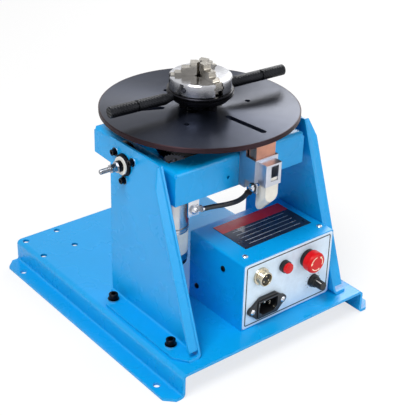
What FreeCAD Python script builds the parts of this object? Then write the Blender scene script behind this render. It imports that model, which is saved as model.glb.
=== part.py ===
"""Small bench welding positioner: a tilting turntable with a three-jaw scroll chuck.

Millimetres, +Z up, the control panel faces -Y, the tilt axis runs along X.
The origin is the middle of the base plate, on the bench.
"""
import FreeCAD
import Part

import math
import os

V = FreeCAD.Vector
X_AXIS, Y_AXIS, Z_AXIS = V(1, 0, 0), V(0, 1, 0), V(0, 0, 1)

# ---------------------------------------------------------------- fits
RUNNING_FIT = 0.05          # radial play of a shaft in its bearing
HOLE_PLAY = 0.3             # radial play of a screw in its hole
FACE_GAP = 0.2              # gap between faces that slide past each other

# ---------------------------------------------------------------- base plate (hat section)
BASE_W, BASE_D, BASE_H = 240.0, 305.0, 27.0
BASE_T = 3.0
BASE_FLANGE_W = 17.0
BASE_FLANGE_CHAMFER = 9.5
BASE_BEND_R = 2.0
BENCH_HOLE_D = 7.0
BENCH_HOLE_IN_X, BENCH_HOLE_IN_Y = 7.5, 28.5
TORCH_HOLE_D = 7.0
TORCH_PITCH_X, TORCH_PITCH_Y = 40.0, 38.0
TORCH_IN_X, TORCH_IN_Y = 27.0, 27.0

# ---------------------------------------------------------------- uprights
UPRIGHT_T = 2.5
UPRIGHT_OUTER_X = 91.5
UPRIGHT_H = 178.0
UPRIGHT_REAR_Y = 4.5
UPRIGHT_TOP_FRONT_Y = -77.0
UPRIGHT_FOOT_IN = 11.5
UPRIGHT_FLANGE_W = 10.0
UPRIGHT_FLANGE_START = 9.0
UPRIGHT_FLANGE_CUT_W, UPRIGHT_FLANGE_CUT_L = 7.0, 20.0
UPRIGHT_BEND_R = 2.0
FOOT_W = 21.5
FOOT_REAR_Y = -1.0
FOOT_CHAMFER_X, FOOT_CHAMFER_Y = 9.5, 14.0
FOOT_SCREW_X = 102.5
FOOT_SCREW_FRONT_IN, FOOT_SCREW_REAR_Y = 31.0, -13.0

# ---------------------------------------------------------------- tilt axis and pivots
AXIS_Y, AXIS_Z = -19.0, 183.5
HOUSING_BARREL_D, HOUSING_FLANGE_D, HOUSING_FLANGE_T = 22.0, 44.0, 5.0
HOUSING_PROUD = 3.0
HOUSING_PCD = 33.0
HOUSING_SCREW_ANGLES = (30.0, 150.0, 270.0)
BUSH_OD, TRUNNION_D = 16.0, 12.0
TRUNNION_COLLAR_D, TRUNNION_COLLAR_T = 22.0, 5.0
STUD_D, STUD_END_X = 8.0, 119.6
EARTH_STUD_D, EARTH_THREAD_MINOR_D = 5.0, 4.4
INSULATOR_D, INSULATOR_T = 18.0, 1.4
LOCKNUT_AF, LOCKNUT_T = 17.0, 3.0
EARTH_SPACER_D, EARTH_SPACER_T = 11.5, 4.6
EARTH_NUT_AF, EARTH_NUT_T, EARTH_JAM_NUT_T = 8.0, 4.0, 2.7

# ---------------------------------------------------------------- tilting frame
FRAME_W, FRAME_D, FRAME_H = 162.0, 134.0, 34.5
FRAME_TAPER = 5.0
FRAME_TOP_Z = 197.6
FRAME_T = 2.5
FRAME_BEND_R = 2.0
FRAME_LIP_X, FRAME_LIP_Y = 8.6, 22.0
CORNER_RELIEF = 4.0
FRONT_HOLE_X, FRONT_HOLE_Z, FRONT_HOLE_D = -17.3, 175.6, 3.2

# ---------------------------------------------------------------- drive plate, spindle and gears
PLATE_T = 3.0
PLATE_Z = 166.0
PLATE_EDGE_GAP = 3.0
TAB_W, TAB_H = 28.0, 17.0
PLATE_ROOT, PLATE_BEND_R = 8.0, 1.0
TAB_OFFSET_Y = 32.0
TAB_SCREW_Z = 9.0
SPINDLE_D, SPINDLE_BORE = 15.0, 6.0
BEARING_OD, BEARING_T = 32.0, 9.0
HOUSING_OD, HOUSING_BOTTOM = 42.0, 20.0
SPINDLE_FLANGE_D, SPINDLE_FLANGE_T = 46.0, 6.0
GEAR_MODULE, GEAR_TEETH, PINION_TEETH = 1.0, 86, 20
GEAR_W, GEAR_LIFT = 8.0, 8.0
MOTOR_ANGLE = 204.8
MOTOR_OFFSET = 6.5
MOTOR_D, GEARBOX_L, MOTOR_CAN_D, MOTOR_CAN_L = 37.0, 46.0, 35.5, 34.0
MOTOR_RING_L = 4.5
MOTOR_SHAFT_D = 6.0

# ---------------------------------------------------------------- turntable
TABLE_R, TABLE_T, TABLE_TOP_Z = 100.0, 5.0, 222.7
TABLE_BORE_D = 20.0
SLOT_W, SLOT_R1, SLOT_R2, SLOT_ANGLE = 6.5, 39.0, 84.0, -83.6
TABLE_HOLE_D, TABLE_HOLE_R, TABLE_HOLE_ANGLE = 5.5, 49.0, -143.6

# ---------------------------------------------------------------- chuck
CHUCK_D, CHUCK_H, CHUCK_TOP_Z = 62.0, 13.0, 255.0
CHUCK_BORE_D, CHUCK_HUB_D = 16.0, 40.0
RING_D, RING_H = 66.5, 7.2
BACK_PLATE_T = 3.0
PEDESTAL_D = 23.0
SCROLL_PITCH, SCROLL_RIB, SCROLL_DEPTH, SCROLL_RISE = 4.0, 1.5, 1.2, 0.8
SCROLL_R1, SCROLL_TURNS = 12.0, 3.6
JAW_ANGLE = -93.0
JAW_W, JAW_R1, JAW_L = 8.4, 1.4, 28.0
JAW_STEPS_Z = (13.4, 8.3, 3.2, 0.7)
JAW_STEPS_L = (8.6, 8.6, 6.6)
JAW_STEP_SLOPE = 0.8
JAW_BASE_DEPTH = 7.5
JAW_CLEAR = 0.25
BODY_HOLE_D, BODY_HOLE_TURN = 5.5, -67.0
BAR_ANGLE, BAR_D, BAR_TIP_R, BAR_GROOVE_R = -3.3, 11.2, 104.0, 73.0
BAR_THREAD_D = 5.0
STUD_NUTS_PCD, TABLE_STUD_D = 34.0, 5.0

# ---------------------------------------------------------------- ground brush on the frame's front
BRUSH_X, BRUSH_W, BRUSH_D = 10.5, 24.0, 10.0
BRUSH_STAND_OFF = 9.3
HOLDER_WALL_X, HOLDER_WALL_Y = 2.5, 1.5
HOLDER_TOP_Z, HOLDER_H = 197.5, 24.0
BRUSH_BOTTOM_Z = 188.0
BRUSH_PLAY = 0.25
BRACKET_TOP_Z, BRACKET_T, BRACKET_EAR = 205.0, 2.0, 10.0
CLIP_W, CLIP_DEPTH, CLIP_H, CLIP_T = 19.4, 11.5, 22.5, 1.5
CLIP_WINDOW_W, CLIP_WINDOW_H = 9.2, 16.0
FINGER_W, FINGER_DROP, FINGER_RUN, FINGER_FALL = 15.8, 18.3, 13.3, 13.9
SPRING_D, SPRING_WIRE, SPRING_TURNS = 7.0, 0.8, 5
CABLE_D = 5.0
GROUND_TAB_DROP = 9.5

# ---------------------------------------------------------------- control box
BOX_X1, BOX_W, BOX_D, BOX_H = -31.5, 119.8, 83.0, 76.0
BOX_FRONT_IN = 21.5
BOX_T = 1.5
PANEL_INSET, OVERLAY_T = 1.2, 0.3
SOCKET_X, SOCKET_Z, SOCKET_D, SOCKET_L = -9.5, 84.2, 16.0, 9.0
LAMP_X, LAMP_Z, LAMP_D, LAMP_L = 21.3, 84.5, 13.0, 8.4
ESTOP_X, ESTOP_Z, ESTOP_HEAD_D, ESTOP_HEAD_L, ESTOP_L = 53.1, 82.0, 22.5, 9.0, 14.6
ESTOP_COLLAR_D, ESTOP_COLLAR_L, ESTOP_SKIRT_D = 19.6, 4.4, 15.0
ESTOP_TRAVEL = 3.5
KNOB_X, KNOB_Z, KNOB_D, KNOB_L = 63.8, 51.2, 14.0, 15.0
INLET_X, INLET_Z, INLET_PITCH = -0.2, 47.2, 40.0
INLET_FLANGE_W, INLET_FLANGE_H, INLET_FLANGE_T = 50.0, 24.0, 3.0
INLET_HOOD_W, INLET_HOOD_H, INLET_DEPTH = 27.5, 19.5, 14.0
NAMEPLATE_W, NAMEPLATE_D, NAMEPLATE_T = 88.5, 51.0, 0.4
NAMEPLATE_X, NAMEPLATE_Y = 34.5, -82.7

# ---------------------------------------------------------------- derived sizes
BENCH_HOLE_X = BASE_W / 2 + BASE_FLANGE_W - BENCH_HOLE_IN_X
BENCH_HOLE_Y = BASE_D / 2 - BENCH_HOLE_IN_Y
TORCH_X, TORCH_Y = TORCH_IN_X - BASE_W / 2, BASE_D / 2 - TORCH_IN_Y
UPRIGHT_FOOT_FRONT_Y = UPRIGHT_FOOT_IN - BASE_D / 2
FOOT_SCREWS_Y = (UPRIGHT_FOOT_FRONT_Y + FOOT_SCREW_FRONT_IN, FOOT_SCREW_REAR_Y)
BOX_FRONT_Y = BOX_FRONT_IN - BASE_D / 2
UPRIGHT_INNER_X = UPRIGHT_OUTER_X - UPRIGHT_T
FRAME_BOTTOM_Z = FRAME_TOP_Z - FRAME_H
FRAME_SIDE_X = FRAME_W / 2
FRAME_INNER_X = FRAME_SIDE_X - FRAME_T
FRAME_FRONT_Y = AXIS_Y - FRAME_D / 2
FRAME_REAR_Y = AXIS_Y + FRAME_D / 2
PLATE_TOP_Z = PLATE_Z + PLATE_T
PLATE_EDGE_X = FRAME_INNER_X
TABLE_BOTTOM_Z = TABLE_TOP_Z - TABLE_T
GEAR_Z = PLATE_TOP_Z + GEAR_LIFT
CENTRE_DISTANCE = GEAR_MODULE * (GEAR_TEETH + PINION_TEETH) / 2
BEARING_TOP_Z = PLATE_TOP_Z + 5.5
SPINDLE_HOUSING_Z1 = PLATE_Z - HOUSING_BOTTOM
CHUCK_FACE_Z = CHUCK_TOP_Z - CHUCK_H
RING_Z2 = CHUCK_FACE_Z - FACE_GAP
RING_Z1 = RING_Z2 - RING_H
BAR_Z = RING_Z1 + RING_H / 2
BACK_PLATE_Z1 = RING_Z1 - FACE_GAP - BACK_PLATE_T
BOX_X2 = BOX_X1 + BOX_W
BOX_Z1, BOX_Z2 = BASE_H, BASE_H + BOX_H
BOX_BACK_Y = BOX_FRONT_Y + BOX_D
PANEL_FACE_Y = BOX_FRONT_Y - OVERLAY_T
BRUSH_FRONT_Y = FRAME_FRONT_Y - BRUSH_STAND_OFF - HOLDER_WALL_Y - BRUSH_D
BRUSH_Y = BRUSH_FRONT_Y + BRUSH_D / 2
HOLDER_FRONT_Y = BRUSH_FRONT_Y - HOLDER_WALL_Y - BRUSH_PLAY
HOLDER_BACK_Y = FRAME_FRONT_Y - BRUSH_STAND_OFF + BRUSH_PLAY
HOLDER_BOTTOM_Z = HOLDER_TOP_Z - HOLDER_H
HOLDER_X1 = BRUSH_X - BRUSH_W / 2 - HOLDER_WALL_X
HOLDER_X2 = BRUSH_X + BRUSH_W / 2 + HOLDER_WALL_X


def polar(radius, angle, z=0.0, centre=(0.0, AXIS_Y)):
    """Point at a radius and an angle in degrees about a vertical axis."""
    a = math.radians(angle)
    return V(centre[0] + radius * math.cos(a), centre[1] + radius * math.sin(a), z)


def box(x1, x2, y1, y2, z1, z2):
    """Block between two corners, given in any order."""
    xs, ys, zs = sorted((x1, x2)), sorted((y1, y2)), sorted((z1, z2))
    return Part.makeBox(xs[1] - xs[0], ys[1] - ys[0], zs[1] - zs[0], V(xs[0], ys[0], zs[0]))


def rod(diameter, start, direction, length):
    """Cylinder from a start point along a direction."""
    return Part.makeCylinder(diameter / 2, length, start, direction)


def tube(outer_d, inner_d, start, direction, length):
    """Plain ring or tube."""
    return rod(outer_d, start, direction, length).cut(rod(inner_d, start, direction, length))


def prism(points, direction):
    """Solid made by pushing a closed outline along a vector."""
    return Part.Face(Part.makePolygon(list(points) + [points[0]])).extrude(direction)


def straight_edges(shape, direction, test):
    """Edges along a direction whose midpoint passes a test."""
    found = []
    for edge in shape.Edges:
        if len(edge.Vertexes) != 2:
            continue
        span = edge.Vertexes[1].Point - edge.Vertexes[0].Point
        middle = (edge.Vertexes[1].Point + edge.Vertexes[0].Point) * 0.5
        if span.Length > 1e-6 and span.cross(direction).Length < 1e-6 * span.Length and test(middle):
            found.append(edge)
    return found


def revolve(points, axis_point, axis):
    """Full revolve of a closed half section."""
    return Part.Face(Part.makePolygon(list(points) + [points[0]])).revolve(axis_point, axis, 360)


def turned(profile, start, direction):
    """Turned piece from (radius, distance) pairs, set on an axis from its start point."""
    section = [V(r, 0, s) for r, s in profile]
    solid = revolve(section, V(0, 0, 0), Z_AXIS)
    solid.Placement = FreeCAD.Placement(start, FreeCAD.Rotation(Z_AXIS, direction))
    return solid


def hexagon(across_flats, height, start, direction):
    """Hexagonal prism on an axis."""
    corners = [V(across_flats / math.sqrt(3) * math.cos(math.radians(60 * i)),
                 across_flats / math.sqrt(3) * math.sin(math.radians(60 * i)), 0) for i in range(6)]
    solid = prism(corners, V(0, 0, height))
    solid.Placement = FreeCAD.Placement(start, FreeCAD.Rotation(Z_AXIS, direction))
    return solid


def hex_nut(across_flats, height, bore, start, direction):
    """Hexagon nut with its corners turned down."""
    blank = hexagon(across_flats, height, start, direction)
    cone_r = across_flats / math.sqrt(3)
    edge = (cone_r - across_flats / 2) * 0.6
    turning = turned([(0, 0), (cone_r - edge, 0), (cone_r, edge), (cone_r, height - edge),
                      (cone_r - edge, height), (0, height)], start, direction)
    return blank.common(turning).cut(rod(bore, start, direction, height))


def washer(outer_d, inner_d, thickness, start, direction):
    """Plain washer."""
    return tube(outer_d, inner_d, start, direction, thickness)


def cap_screw(size, length, seat, out):
    """Socket cap screw: its head stands on the seat towards out, its shank goes the other way."""
    head_d, head_h, key = 1.6 * size, size, 0.8 * size
    head = turned([(0, 0), (head_d / 2, 0), (head_d / 2, head_h - 0.08 * size),
                   (head_d / 2 - 0.08 * size, head_h), (0, head_h)], seat, out)
    head = head.cut(hexagon(key, head_h, seat + out * (0.45 * head_h), out))
    return head.fuse(rod(size, seat, out * -1, length)).removeSplitter()


def pan_screw(size, length, seat, out):
    """Cross-head pan screw with a rounded head."""
    head_d, head_h = 2.0 * size, 0.65 * size
    head = turned([(0, 0), (head_d / 2, 0), (head_d / 2, 0.4 * head_h), (0.36 * head_d, 0.8 * head_h),
                   (0.2 * head_d, head_h), (0, head_h)], seat, out)
    side = out.cross(X_AXIS) if abs(out.dot(X_AXIS)) < 0.9 else out.cross(Y_AXIS)
    across = out.cross(side)
    for arm, wide in ((side, across), (across, side)):
        corner = seat + out * (0.45 * head_h) - arm * (0.55 * size) - wide * (0.11 * size)
        slot = prism([corner, corner + arm * (1.1 * size), corner + arm * (1.1 * size) + wide * (0.22 * size),
                      corner + wide * (0.22 * size)], out * head_h)
        head = head.cut(slot)
    return head.fuse(rod(size, seat, out * -1, length)).removeSplitter()


def mirrored(shape):
    """The same piece on the other side of the machine."""
    return shape.mirror(V(0, 0, 0), X_AXIS)


def cord(points, diameter, name):
    """Round cord along straight runs joined by tangent arcs."""
    edges, start = [], points[0]
    for before, corner, after in zip(points, points[1:], points[2:]):
        back, ahead = before - corner, after - corner
        turn = math.pi - back.getAngle(ahead)
        reach = 0.45 * min(back.Length, ahead.Length)
        radius = reach / math.tan(turn / 2)
        print("%s: turn %.0f degrees, radius %.1f mm" % (name, math.degrees(turn), radius))
        back.normalize()
        ahead.normalize()
        first, last = corner + back * reach, corner + ahead * reach
        bisector = (back + ahead).normalize()
        centre = corner + bisector * math.hypot(radius, reach)
        middle = centre - bisector * radius
        edges.append(Part.makeLine(start, first))
        edges.append(Part.Arc(first, middle, last).toShape())
        start = last
    edges.append(Part.makeLine(start, points[-1]))
    spine = Part.Wire(edges)
    section = Part.Wire(Part.makeCircle(diameter / 2, points[0], points[1] - points[0]))
    return spine.makePipeShell([section], True, False)


# ================================================================ base
def base_plate():
    """Folded hat section: a raised deck, two webs and two bench flanges."""
    half, t, flange = BASE_W / 2, BASE_T, BASE_W / 2 + BASE_FLANGE_W
    y1, length = -BASE_D / 2, V(0, BASE_D, 0)
    outline = [(-half, BASE_H), (half, BASE_H), (half, t), (flange, t), (flange, 0), (half - t, 0),
               (half - t, BASE_H - t), (-half + t, BASE_H - t), (-half + t, 0), (-flange, 0),
               (-flange, t), (-half, t)]
    plate = prism([V(x, y1, z) for x, z in outline], length)
    outer = [(half, BASE_H), (half - t, 0)]
    inner = [(half, t), (half - t, BASE_H - t)]
    for corners, radius in ((outer, BASE_BEND_R + t), (inner, BASE_BEND_R)):
        edges = straight_edges(plate, Y_AXIS, lambda m: any(
            abs(abs(m.x) - x) < 1e-3 and abs(m.z - z) < 1e-3 for x, z in corners))
        plate = plate.makeFillet(radius, edges)
    c = BASE_FLANGE_CHAMFER
    for sx in (-1, 1):
        for sy in (-1, 1):
            tip = [V(sx * flange, sy * BASE_D / 2, 0), V(sx * (flange - c), sy * BASE_D / 2, 0),
                   V(sx * flange, sy * (BASE_D / 2 - c), 0)]
            plate = plate.cut(prism(tip, V(0, 0, t)))
            plate = plate.cut(rod(BENCH_HOLE_D, V(sx * BENCH_HOLE_X, sy * BENCH_HOLE_Y, 0), Z_AXIS, t))
            plate = plate.cut(rod(TORCH_HOLE_D, V(TORCH_X + sx * TORCH_PITCH_X / 2,
                                                  TORCH_Y + sy * TORCH_PITCH_Y / 2, BASE_H - t), Z_AXIS, t))
        for y in FOOT_SCREWS_Y:
            plate = plate.cut(rod(6 + 2 * HOLE_PLAY, V(sx * FOOT_SCREW_X, y, BASE_H - t), Z_AXIS, t))
    for x, y in box_floor_points():
        plate = plate.cut(rod(4 + 2 * HOLE_PLAY, V(x, y, BASE_H - t), Z_AXIS, t))
    return plate


def right_upright():
    """Folded side plate: web, foot turned outwards and a sloping front flange turned outwards."""
    t, inner, outer, z0 = UPRIGHT_T, UPRIGHT_INNER_X, UPRIGHT_OUTER_X, BASE_H
    z1, bend = BASE_H + UPRIGHT_H, UPRIGHT_BEND_R
    foot = prism([V(inner, UPRIGHT_FOOT_FRONT_Y, z0), V(outer + FOOT_W, UPRIGHT_FOOT_FRONT_Y, z0),
                  V(outer + FOOT_W, UPRIGHT_FOOT_FRONT_Y, z0 + t), V(outer, UPRIGHT_FOOT_FRONT_Y, z0 + t),
                  V(outer, UPRIGHT_FOOT_FRONT_Y, z1), V(inner, UPRIGHT_FOOT_FRONT_Y, z1)],
                 V(0, UPRIGHT_REAR_Y - UPRIGHT_FOOT_FRONT_Y, 0))
    foot = foot.makeFillet(bend + t, straight_edges(
        foot, Y_AXIS, lambda m: abs(m.x - inner) < 1e-3 and abs(m.z - z0) < 1e-3))
    foot = foot.makeFillet(bend, straight_edges(
        foot, Y_AXIS, lambda m: abs(m.x - outer) < 1e-3 and abs(m.z - z0 - t) < 1e-3))
    side = prism([V(0, UPRIGHT_REAR_Y, z0), V(0, UPRIGHT_REAR_Y, z1), V(0, UPRIGHT_TOP_FRONT_Y, z1),
                  V(0, UPRIGHT_FOOT_FRONT_Y, z0)], V(outer + FOOT_W, 0, 0))
    body = foot.common(side)
    rear_strip = box(outer + bend, outer + FOOT_W, FOOT_REAR_Y, UPRIGHT_REAR_Y, z0, z0 + t)
    body = body.cut(rear_strip)
    tip_x = outer + FOOT_W
    for y, way in ((UPRIGHT_FOOT_FRONT_Y, 1), (FOOT_REAR_Y, -1)):
        body = body.cut(prism([V(tip_x, y, z0), V(tip_x - FOOT_CHAMFER_X, y, z0),
                               V(tip_x, y + way * FOOT_CHAMFER_Y, z0)], V(0, 0, t)))
    body = body.fuse(front_flange()).removeSplitter()
    body = body.cut(rod(HOUSING_BARREL_D + 2 * HOLE_PLAY, V(inner, AXIS_Y, AXIS_Z), X_AXIS, t))
    for point in housing_screw_points(inner):
        body = body.cut(rod(4 + 2 * HOLE_PLAY, point, X_AXIS, t))
    for y in FOOT_SCREWS_Y:
        body = body.cut(rod(6 + 2 * HOLE_PLAY, V(FOOT_SCREW_X, y, z0), Z_AXIS, t))
    return body


def front_flange():
    """Sloping strip along an upright's front edge, its top corner cut off."""
    t, inner, outer = UPRIGHT_T, UPRIGHT_INNER_X, UPRIGHT_OUTER_X
    rise, run = UPRIGHT_H, UPRIGHT_TOP_FRONT_Y - UPRIGHT_FOOT_FRONT_Y
    length, slope = math.hypot(rise, run), math.degrees(math.atan2(run, rise))
    z1 = UPRIGHT_FLANGE_START
    tip = outer + UPRIGHT_FLANGE_W
    strip = prism([V(inner, 0, z1), V(tip, 0, z1), V(tip, t, z1), V(outer, t, z1), V(outer, 3 * t, z1),
                   V(inner, 3 * t, z1)], V(0, 0, length - z1))
    strip = strip.makeFillet(UPRIGHT_BEND_R + t, straight_edges(
        strip, Z_AXIS, lambda m: abs(m.x - inner) < 1e-3 and abs(m.y) < 1e-3))
    strip = strip.makeFillet(UPRIGHT_BEND_R, straight_edges(
        strip, Z_AXIS, lambda m: abs(m.x - outer) < 1e-3 and abs(m.y - t) < 1e-3))
    strip = strip.cut(prism([V(tip, 0, length), V(tip - UPRIGHT_FLANGE_CUT_W, 0, length),
                             V(tip, 0, length - UPRIGHT_FLANGE_CUT_L)], V(0, t, 0)))
    strip.rotate(V(0, 0, 0), X_AXIS, -slope)
    strip.translate(V(0, UPRIGHT_FOOT_FRONT_Y, BASE_H))
    ceiling = box(inner, tip, UPRIGHT_FOOT_FRONT_Y, UPRIGHT_REAR_Y, BASE_H, BASE_H + UPRIGHT_H)
    return strip.common(ceiling)


def foot_fasteners():
    """Screws, washers and nuts that hold the two uprights on the base deck."""
    pieces = []
    seat_z = BASE_H + UPRIGHT_T
    for sx in (-1, 1):
        for y in FOOT_SCREWS_Y:
            pieces.append(cap_screw(6, 17, V(sx * FOOT_SCREW_X, y, seat_z + 1.6), Z_AXIS))
            pieces.append(washer(12, 6.4, 1.6, V(sx * FOOT_SCREW_X, y, seat_z), Z_AXIS))
            pieces.append(hex_nut(10, 5, 6, V(sx * FOOT_SCREW_X, y, BASE_H - BASE_T), Z_AXIS * -1))
    return pieces


# ================================================================ pivots
def housing_screw_points(x):
    """Centres of the three pivot housing screws on a plane across the tilt axis."""
    points = []
    for angle in HOUSING_SCREW_ANGLES:
        a = math.radians(angle)
        points.append(V(x, AXIS_Y + HOUSING_PCD / 2 * math.cos(a), AXIS_Z + HOUSING_PCD / 2 * math.sin(a)))
    return points


def right_pivot_housing():
    """Flanged bearing housing: flange inside the upright, barrel through it."""
    start = V(UPRIGHT_INNER_X - HOUSING_FLANGE_T, AXIS_Y, AXIS_Z)
    reach = HOUSING_FLANGE_T + UPRIGHT_T + HOUSING_PROUD
    profile = [(BUSH_OD / 2, 0), (HOUSING_FLANGE_D / 2 - 1, 0), (HOUSING_FLANGE_D / 2, 1),
               (HOUSING_FLANGE_D / 2, HOUSING_FLANGE_T), (HOUSING_BARREL_D / 2, HOUSING_FLANGE_T),
               (HOUSING_BARREL_D / 2, reach - 1), (HOUSING_BARREL_D / 2 - 1, reach), (BUSH_OD / 2, reach)]
    housing = turned(profile, start, X_AXIS)
    for point in housing_screw_points(start.x):
        housing = housing.cut(rod(4, point, X_AXIS, HOUSING_FLANGE_T))
    return housing


def right_pivot_bush():
    """Plain bush pressed into the housing."""
    start = V(UPRIGHT_INNER_X - HOUSING_FLANGE_T, AXIS_Y, AXIS_Z)
    reach = HOUSING_FLANGE_T + UPRIGHT_T + HOUSING_PROUD
    return tube(BUSH_OD, TRUNNION_D + 2 * RUNNING_FIT, start, X_AXIS, reach)


def housing_fasteners():
    """Cap screws and washers outside the uprights, three to a pivot."""
    pieces = []
    for side in (-1, 1):
        out = X_AXIS * side
        for point in housing_screw_points(side * UPRIGHT_OUTER_X):
            pieces.append(washer(9, 4.3, 0.8, point, out))
            pieces.append(cap_screw(4, 8, point + out * 0.8, out))
    return pieces


HOUSING_FACE_X = UPRIGHT_OUTER_X + HOUSING_PROUD
INSULATOR_X = HOUSING_FACE_X + FACE_GAP
LOCKNUT_X = INSULATOR_X + INSULATOR_T
LEVER_X = LOCKNUT_X + LOCKNUT_T
EARTH_NUT_X = LOCKNUT_X + EARTH_SPACER_T
EARTH_JAM_NUT_X = EARTH_NUT_X + EARTH_NUT_T
EARTH_TIP_X = EARTH_JAM_NUT_X + EARTH_JAM_NUT_T


def right_trunnion():
    """Trunnion with a collar inside the frame wall, a running shaft and the stud of the lock lever."""
    start = V(FRAME_INNER_X - TRUNNION_COLLAR_T, AXIS_Y, AXIS_Z)
    neck, length = LEVER_X - start.x, STUD_END_X - start.x
    profile = [(0, 0), (TRUNNION_COLLAR_D / 2, 0), (TRUNNION_COLLAR_D / 2, TRUNNION_COLLAR_T),
               (TRUNNION_D / 2, TRUNNION_COLLAR_T), (TRUNNION_D / 2, neck), (STUD_D / 2, neck),
               (STUD_D / 2, length - 1), (STUD_D / 2 - 1, length), (0, length)]
    return turned(profile, start, X_AXIS)


def left_trunnion():
    """Trunnion with a collar inside the frame wall, a running shaft and the thinner earth stud."""
    start = V(-FRAME_INNER_X + TRUNNION_COLLAR_T, AXIS_Y, AXIS_Z)
    neck, tip, length = (x + start.x for x in (INSULATOR_X, EARTH_TIP_X, STUD_END_X))
    minor = EARTH_THREAD_MINOR_D / 2
    profile = [(0, 0), (TRUNNION_COLLAR_D / 2, 0), (TRUNNION_COLLAR_D / 2, TRUNNION_COLLAR_T),
               (TRUNNION_D / 2, TRUNNION_COLLAR_T), (TRUNNION_D / 2, neck), (minor, neck), (minor, tip),
               (EARTH_STUD_D / 2, tip), (EARTH_STUD_D / 2, length - 0.8), (EARTH_STUD_D / 2 - 0.8, length),
               (0, length)]
    return turned(profile, start, X_AXIS * -1)


def trunnion_spacers():
    """Thrust washers between the frame walls and the pivot housings."""
    gap = UPRIGHT_INNER_X - HOUSING_FLANGE_T - FRAME_SIDE_X - FACE_GAP
    return [washer(TRUNNION_COLLAR_D, TRUNNION_D, gap, V(side * FRAME_SIDE_X, AXIS_Y, AXIS_Z), X_AXIS * side)
            for side in (-1, 1)]


def trunnion_insulators():
    """Insulating washers outside the housings."""
    return [washer(INSULATOR_D, bore, INSULATOR_T, V(side * INSULATOR_X, AXIS_Y, AXIS_Z), X_AXIS * side)
            for side, bore in ((-1, EARTH_THREAD_MINOR_D), (1, TRUNNION_D))]


def trunnion_locknut():
    """Thin lock nut that takes up the end play on the right."""
    return hex_nut(LOCKNUT_AF, LOCKNUT_T, TRUNNION_D, V(LOCKNUT_X, AXIS_Y, AXIS_Z), X_AXIS)


def earth_stud_nuts():
    """Spacer, nut and jam nut on the left stud, where the welding earth clamps."""
    out, bore = X_AXIS * -1, EARTH_THREAD_MINOR_D
    return [washer(EARTH_SPACER_D, bore, EARTH_SPACER_T, V(-LOCKNUT_X, AXIS_Y, AXIS_Z), out),
            hex_nut(EARTH_NUT_AF, EARTH_NUT_T, bore, V(-EARTH_NUT_X, AXIS_Y, AXIS_Z), out),
            hex_nut(EARTH_NUT_AF, EARTH_JAM_NUT_T, bore, V(-EARTH_JAM_NUT_X, AXIS_Y, AXIS_Z), out)]


def tilt_lock_lever():
    """Threaded hub with a tapered arm that clamps the tilt, outside the right upright."""
    hub_l = 14.0
    start = V(LEVER_X + FACE_GAP, AXIS_Y, AXIS_Z)
    hub = turned([(STUD_D / 2 + RUNNING_FIT, 0), (8, 0), (9, 1.5), (9, hub_l - 2), (7, hub_l),
                  (STUD_D / 2 + RUNNING_FIT, hub_l)], start, X_AXIS)
    arm_root = start + V(hub_l / 2, 0, 0)
    lean = V(0.22, 0.75, -0.62)
    lean.normalize()
    arm = turned([(0, 6.5), (4.2, 6.5), (3.6, 20), (4.6, 46), (5.2, 60), (4.2, 65), (2.2, 67.5), (0, 68)],
                 arm_root, lean)
    bore = rod(STUD_D + 2 * RUNNING_FIT, start - X_AXIS, X_AXIS, hub_l + 2)
    return hub.fuse(arm).cut(bore).removeSplitter()


# ================================================================ tilting frame and drive
def tilt_frame():
    """Shallow folded tray, open below, lower at the front, with a wide opening under the turntable."""
    w, t = FRAME_SIDE_X, FRAME_T
    shell = box(-w, w, FRAME_FRONT_Y, FRAME_REAR_Y, FRAME_BOTTOM_Z, FRAME_TOP_Z)
    shell = shell.makeFillet(FRAME_BEND_R + t, [e for e in shell.Edges if e.BoundBox.ZMin > FRAME_TOP_Z - 1])
    hollow = box(-w + t, w - t, FRAME_FRONT_Y + t, FRAME_REAR_Y - t, FRAME_BOTTOM_Z, FRAME_TOP_Z - t)
    top_edges = [e for e in hollow.Edges if e.BoundBox.ZMin > FRAME_TOP_Z - t - 1]
    hollow = hollow.makeFillet(FRAME_BEND_R, top_edges)
    shell = shell.cut(hollow)
    opening = box(-w + FRAME_LIP_X, w - FRAME_LIP_X, FRAME_FRONT_Y + FRAME_LIP_Y, FRAME_REAR_Y - FRAME_LIP_Y,
                  FRAME_TOP_Z - t, FRAME_TOP_Z)
    shell = shell.cut(opening)
    for sx in (-1, 1):
        for y in (FRAME_FRONT_Y, FRAME_REAR_Y):
            shell = shell.cut(rod(CORNER_RELIEF, V(sx * w, y, FRAME_TOP_Z - 2 * t), Z_AXIS, 2 * t))
        start = V(sx * (w - t), AXIS_Y, AXIS_Z)
        shell = shell.cut(rod(TRUNNION_D + 2 * RUNNING_FIT, start, X_AXIS * sx, t))
        for y in tab_centres():
            at = V(sx * (w - t), y, PLATE_Z + TAB_SCREW_Z)
            shell = shell.cut(rod(5 + 2 * HOLE_PLAY, at, X_AXIS * sx, t))
    for x in bracket_screw_xs():
        shell = shell.cut(rod(4 + 2 * HOLE_PLAY, V(x, FRAME_FRONT_Y, BRACKET_SCREW_Z), Y_AXIS, t))
    shell = shell.cut(rod(FRONT_HOLE_D, V(FRONT_HOLE_X, FRAME_FRONT_Y, FRONT_HOLE_Z), Y_AXIS, t))
    rise = prism([V(-w, FRAME_FRONT_Y + t, FRAME_BOTTOM_Z), V(-w, FRAME_REAR_Y, FRAME_BOTTOM_Z),
                  V(-w, FRAME_REAR_Y, FRAME_BOTTOM_Z + FRAME_TAPER)], V(2 * w, 0, 0))
    return shell.cut(rise)


def tab_centres():
    """Places of the drive plate's upturned tabs along Y."""
    return AXIS_Y - TAB_OFFSET_Y, AXIS_Y + TAB_OFFSET_Y


def motor_axis():
    """Centre line of the gear motor."""
    return polar(CENTRE_DISTANCE + MOTOR_OFFSET, MOTOR_ANGLE)


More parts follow.
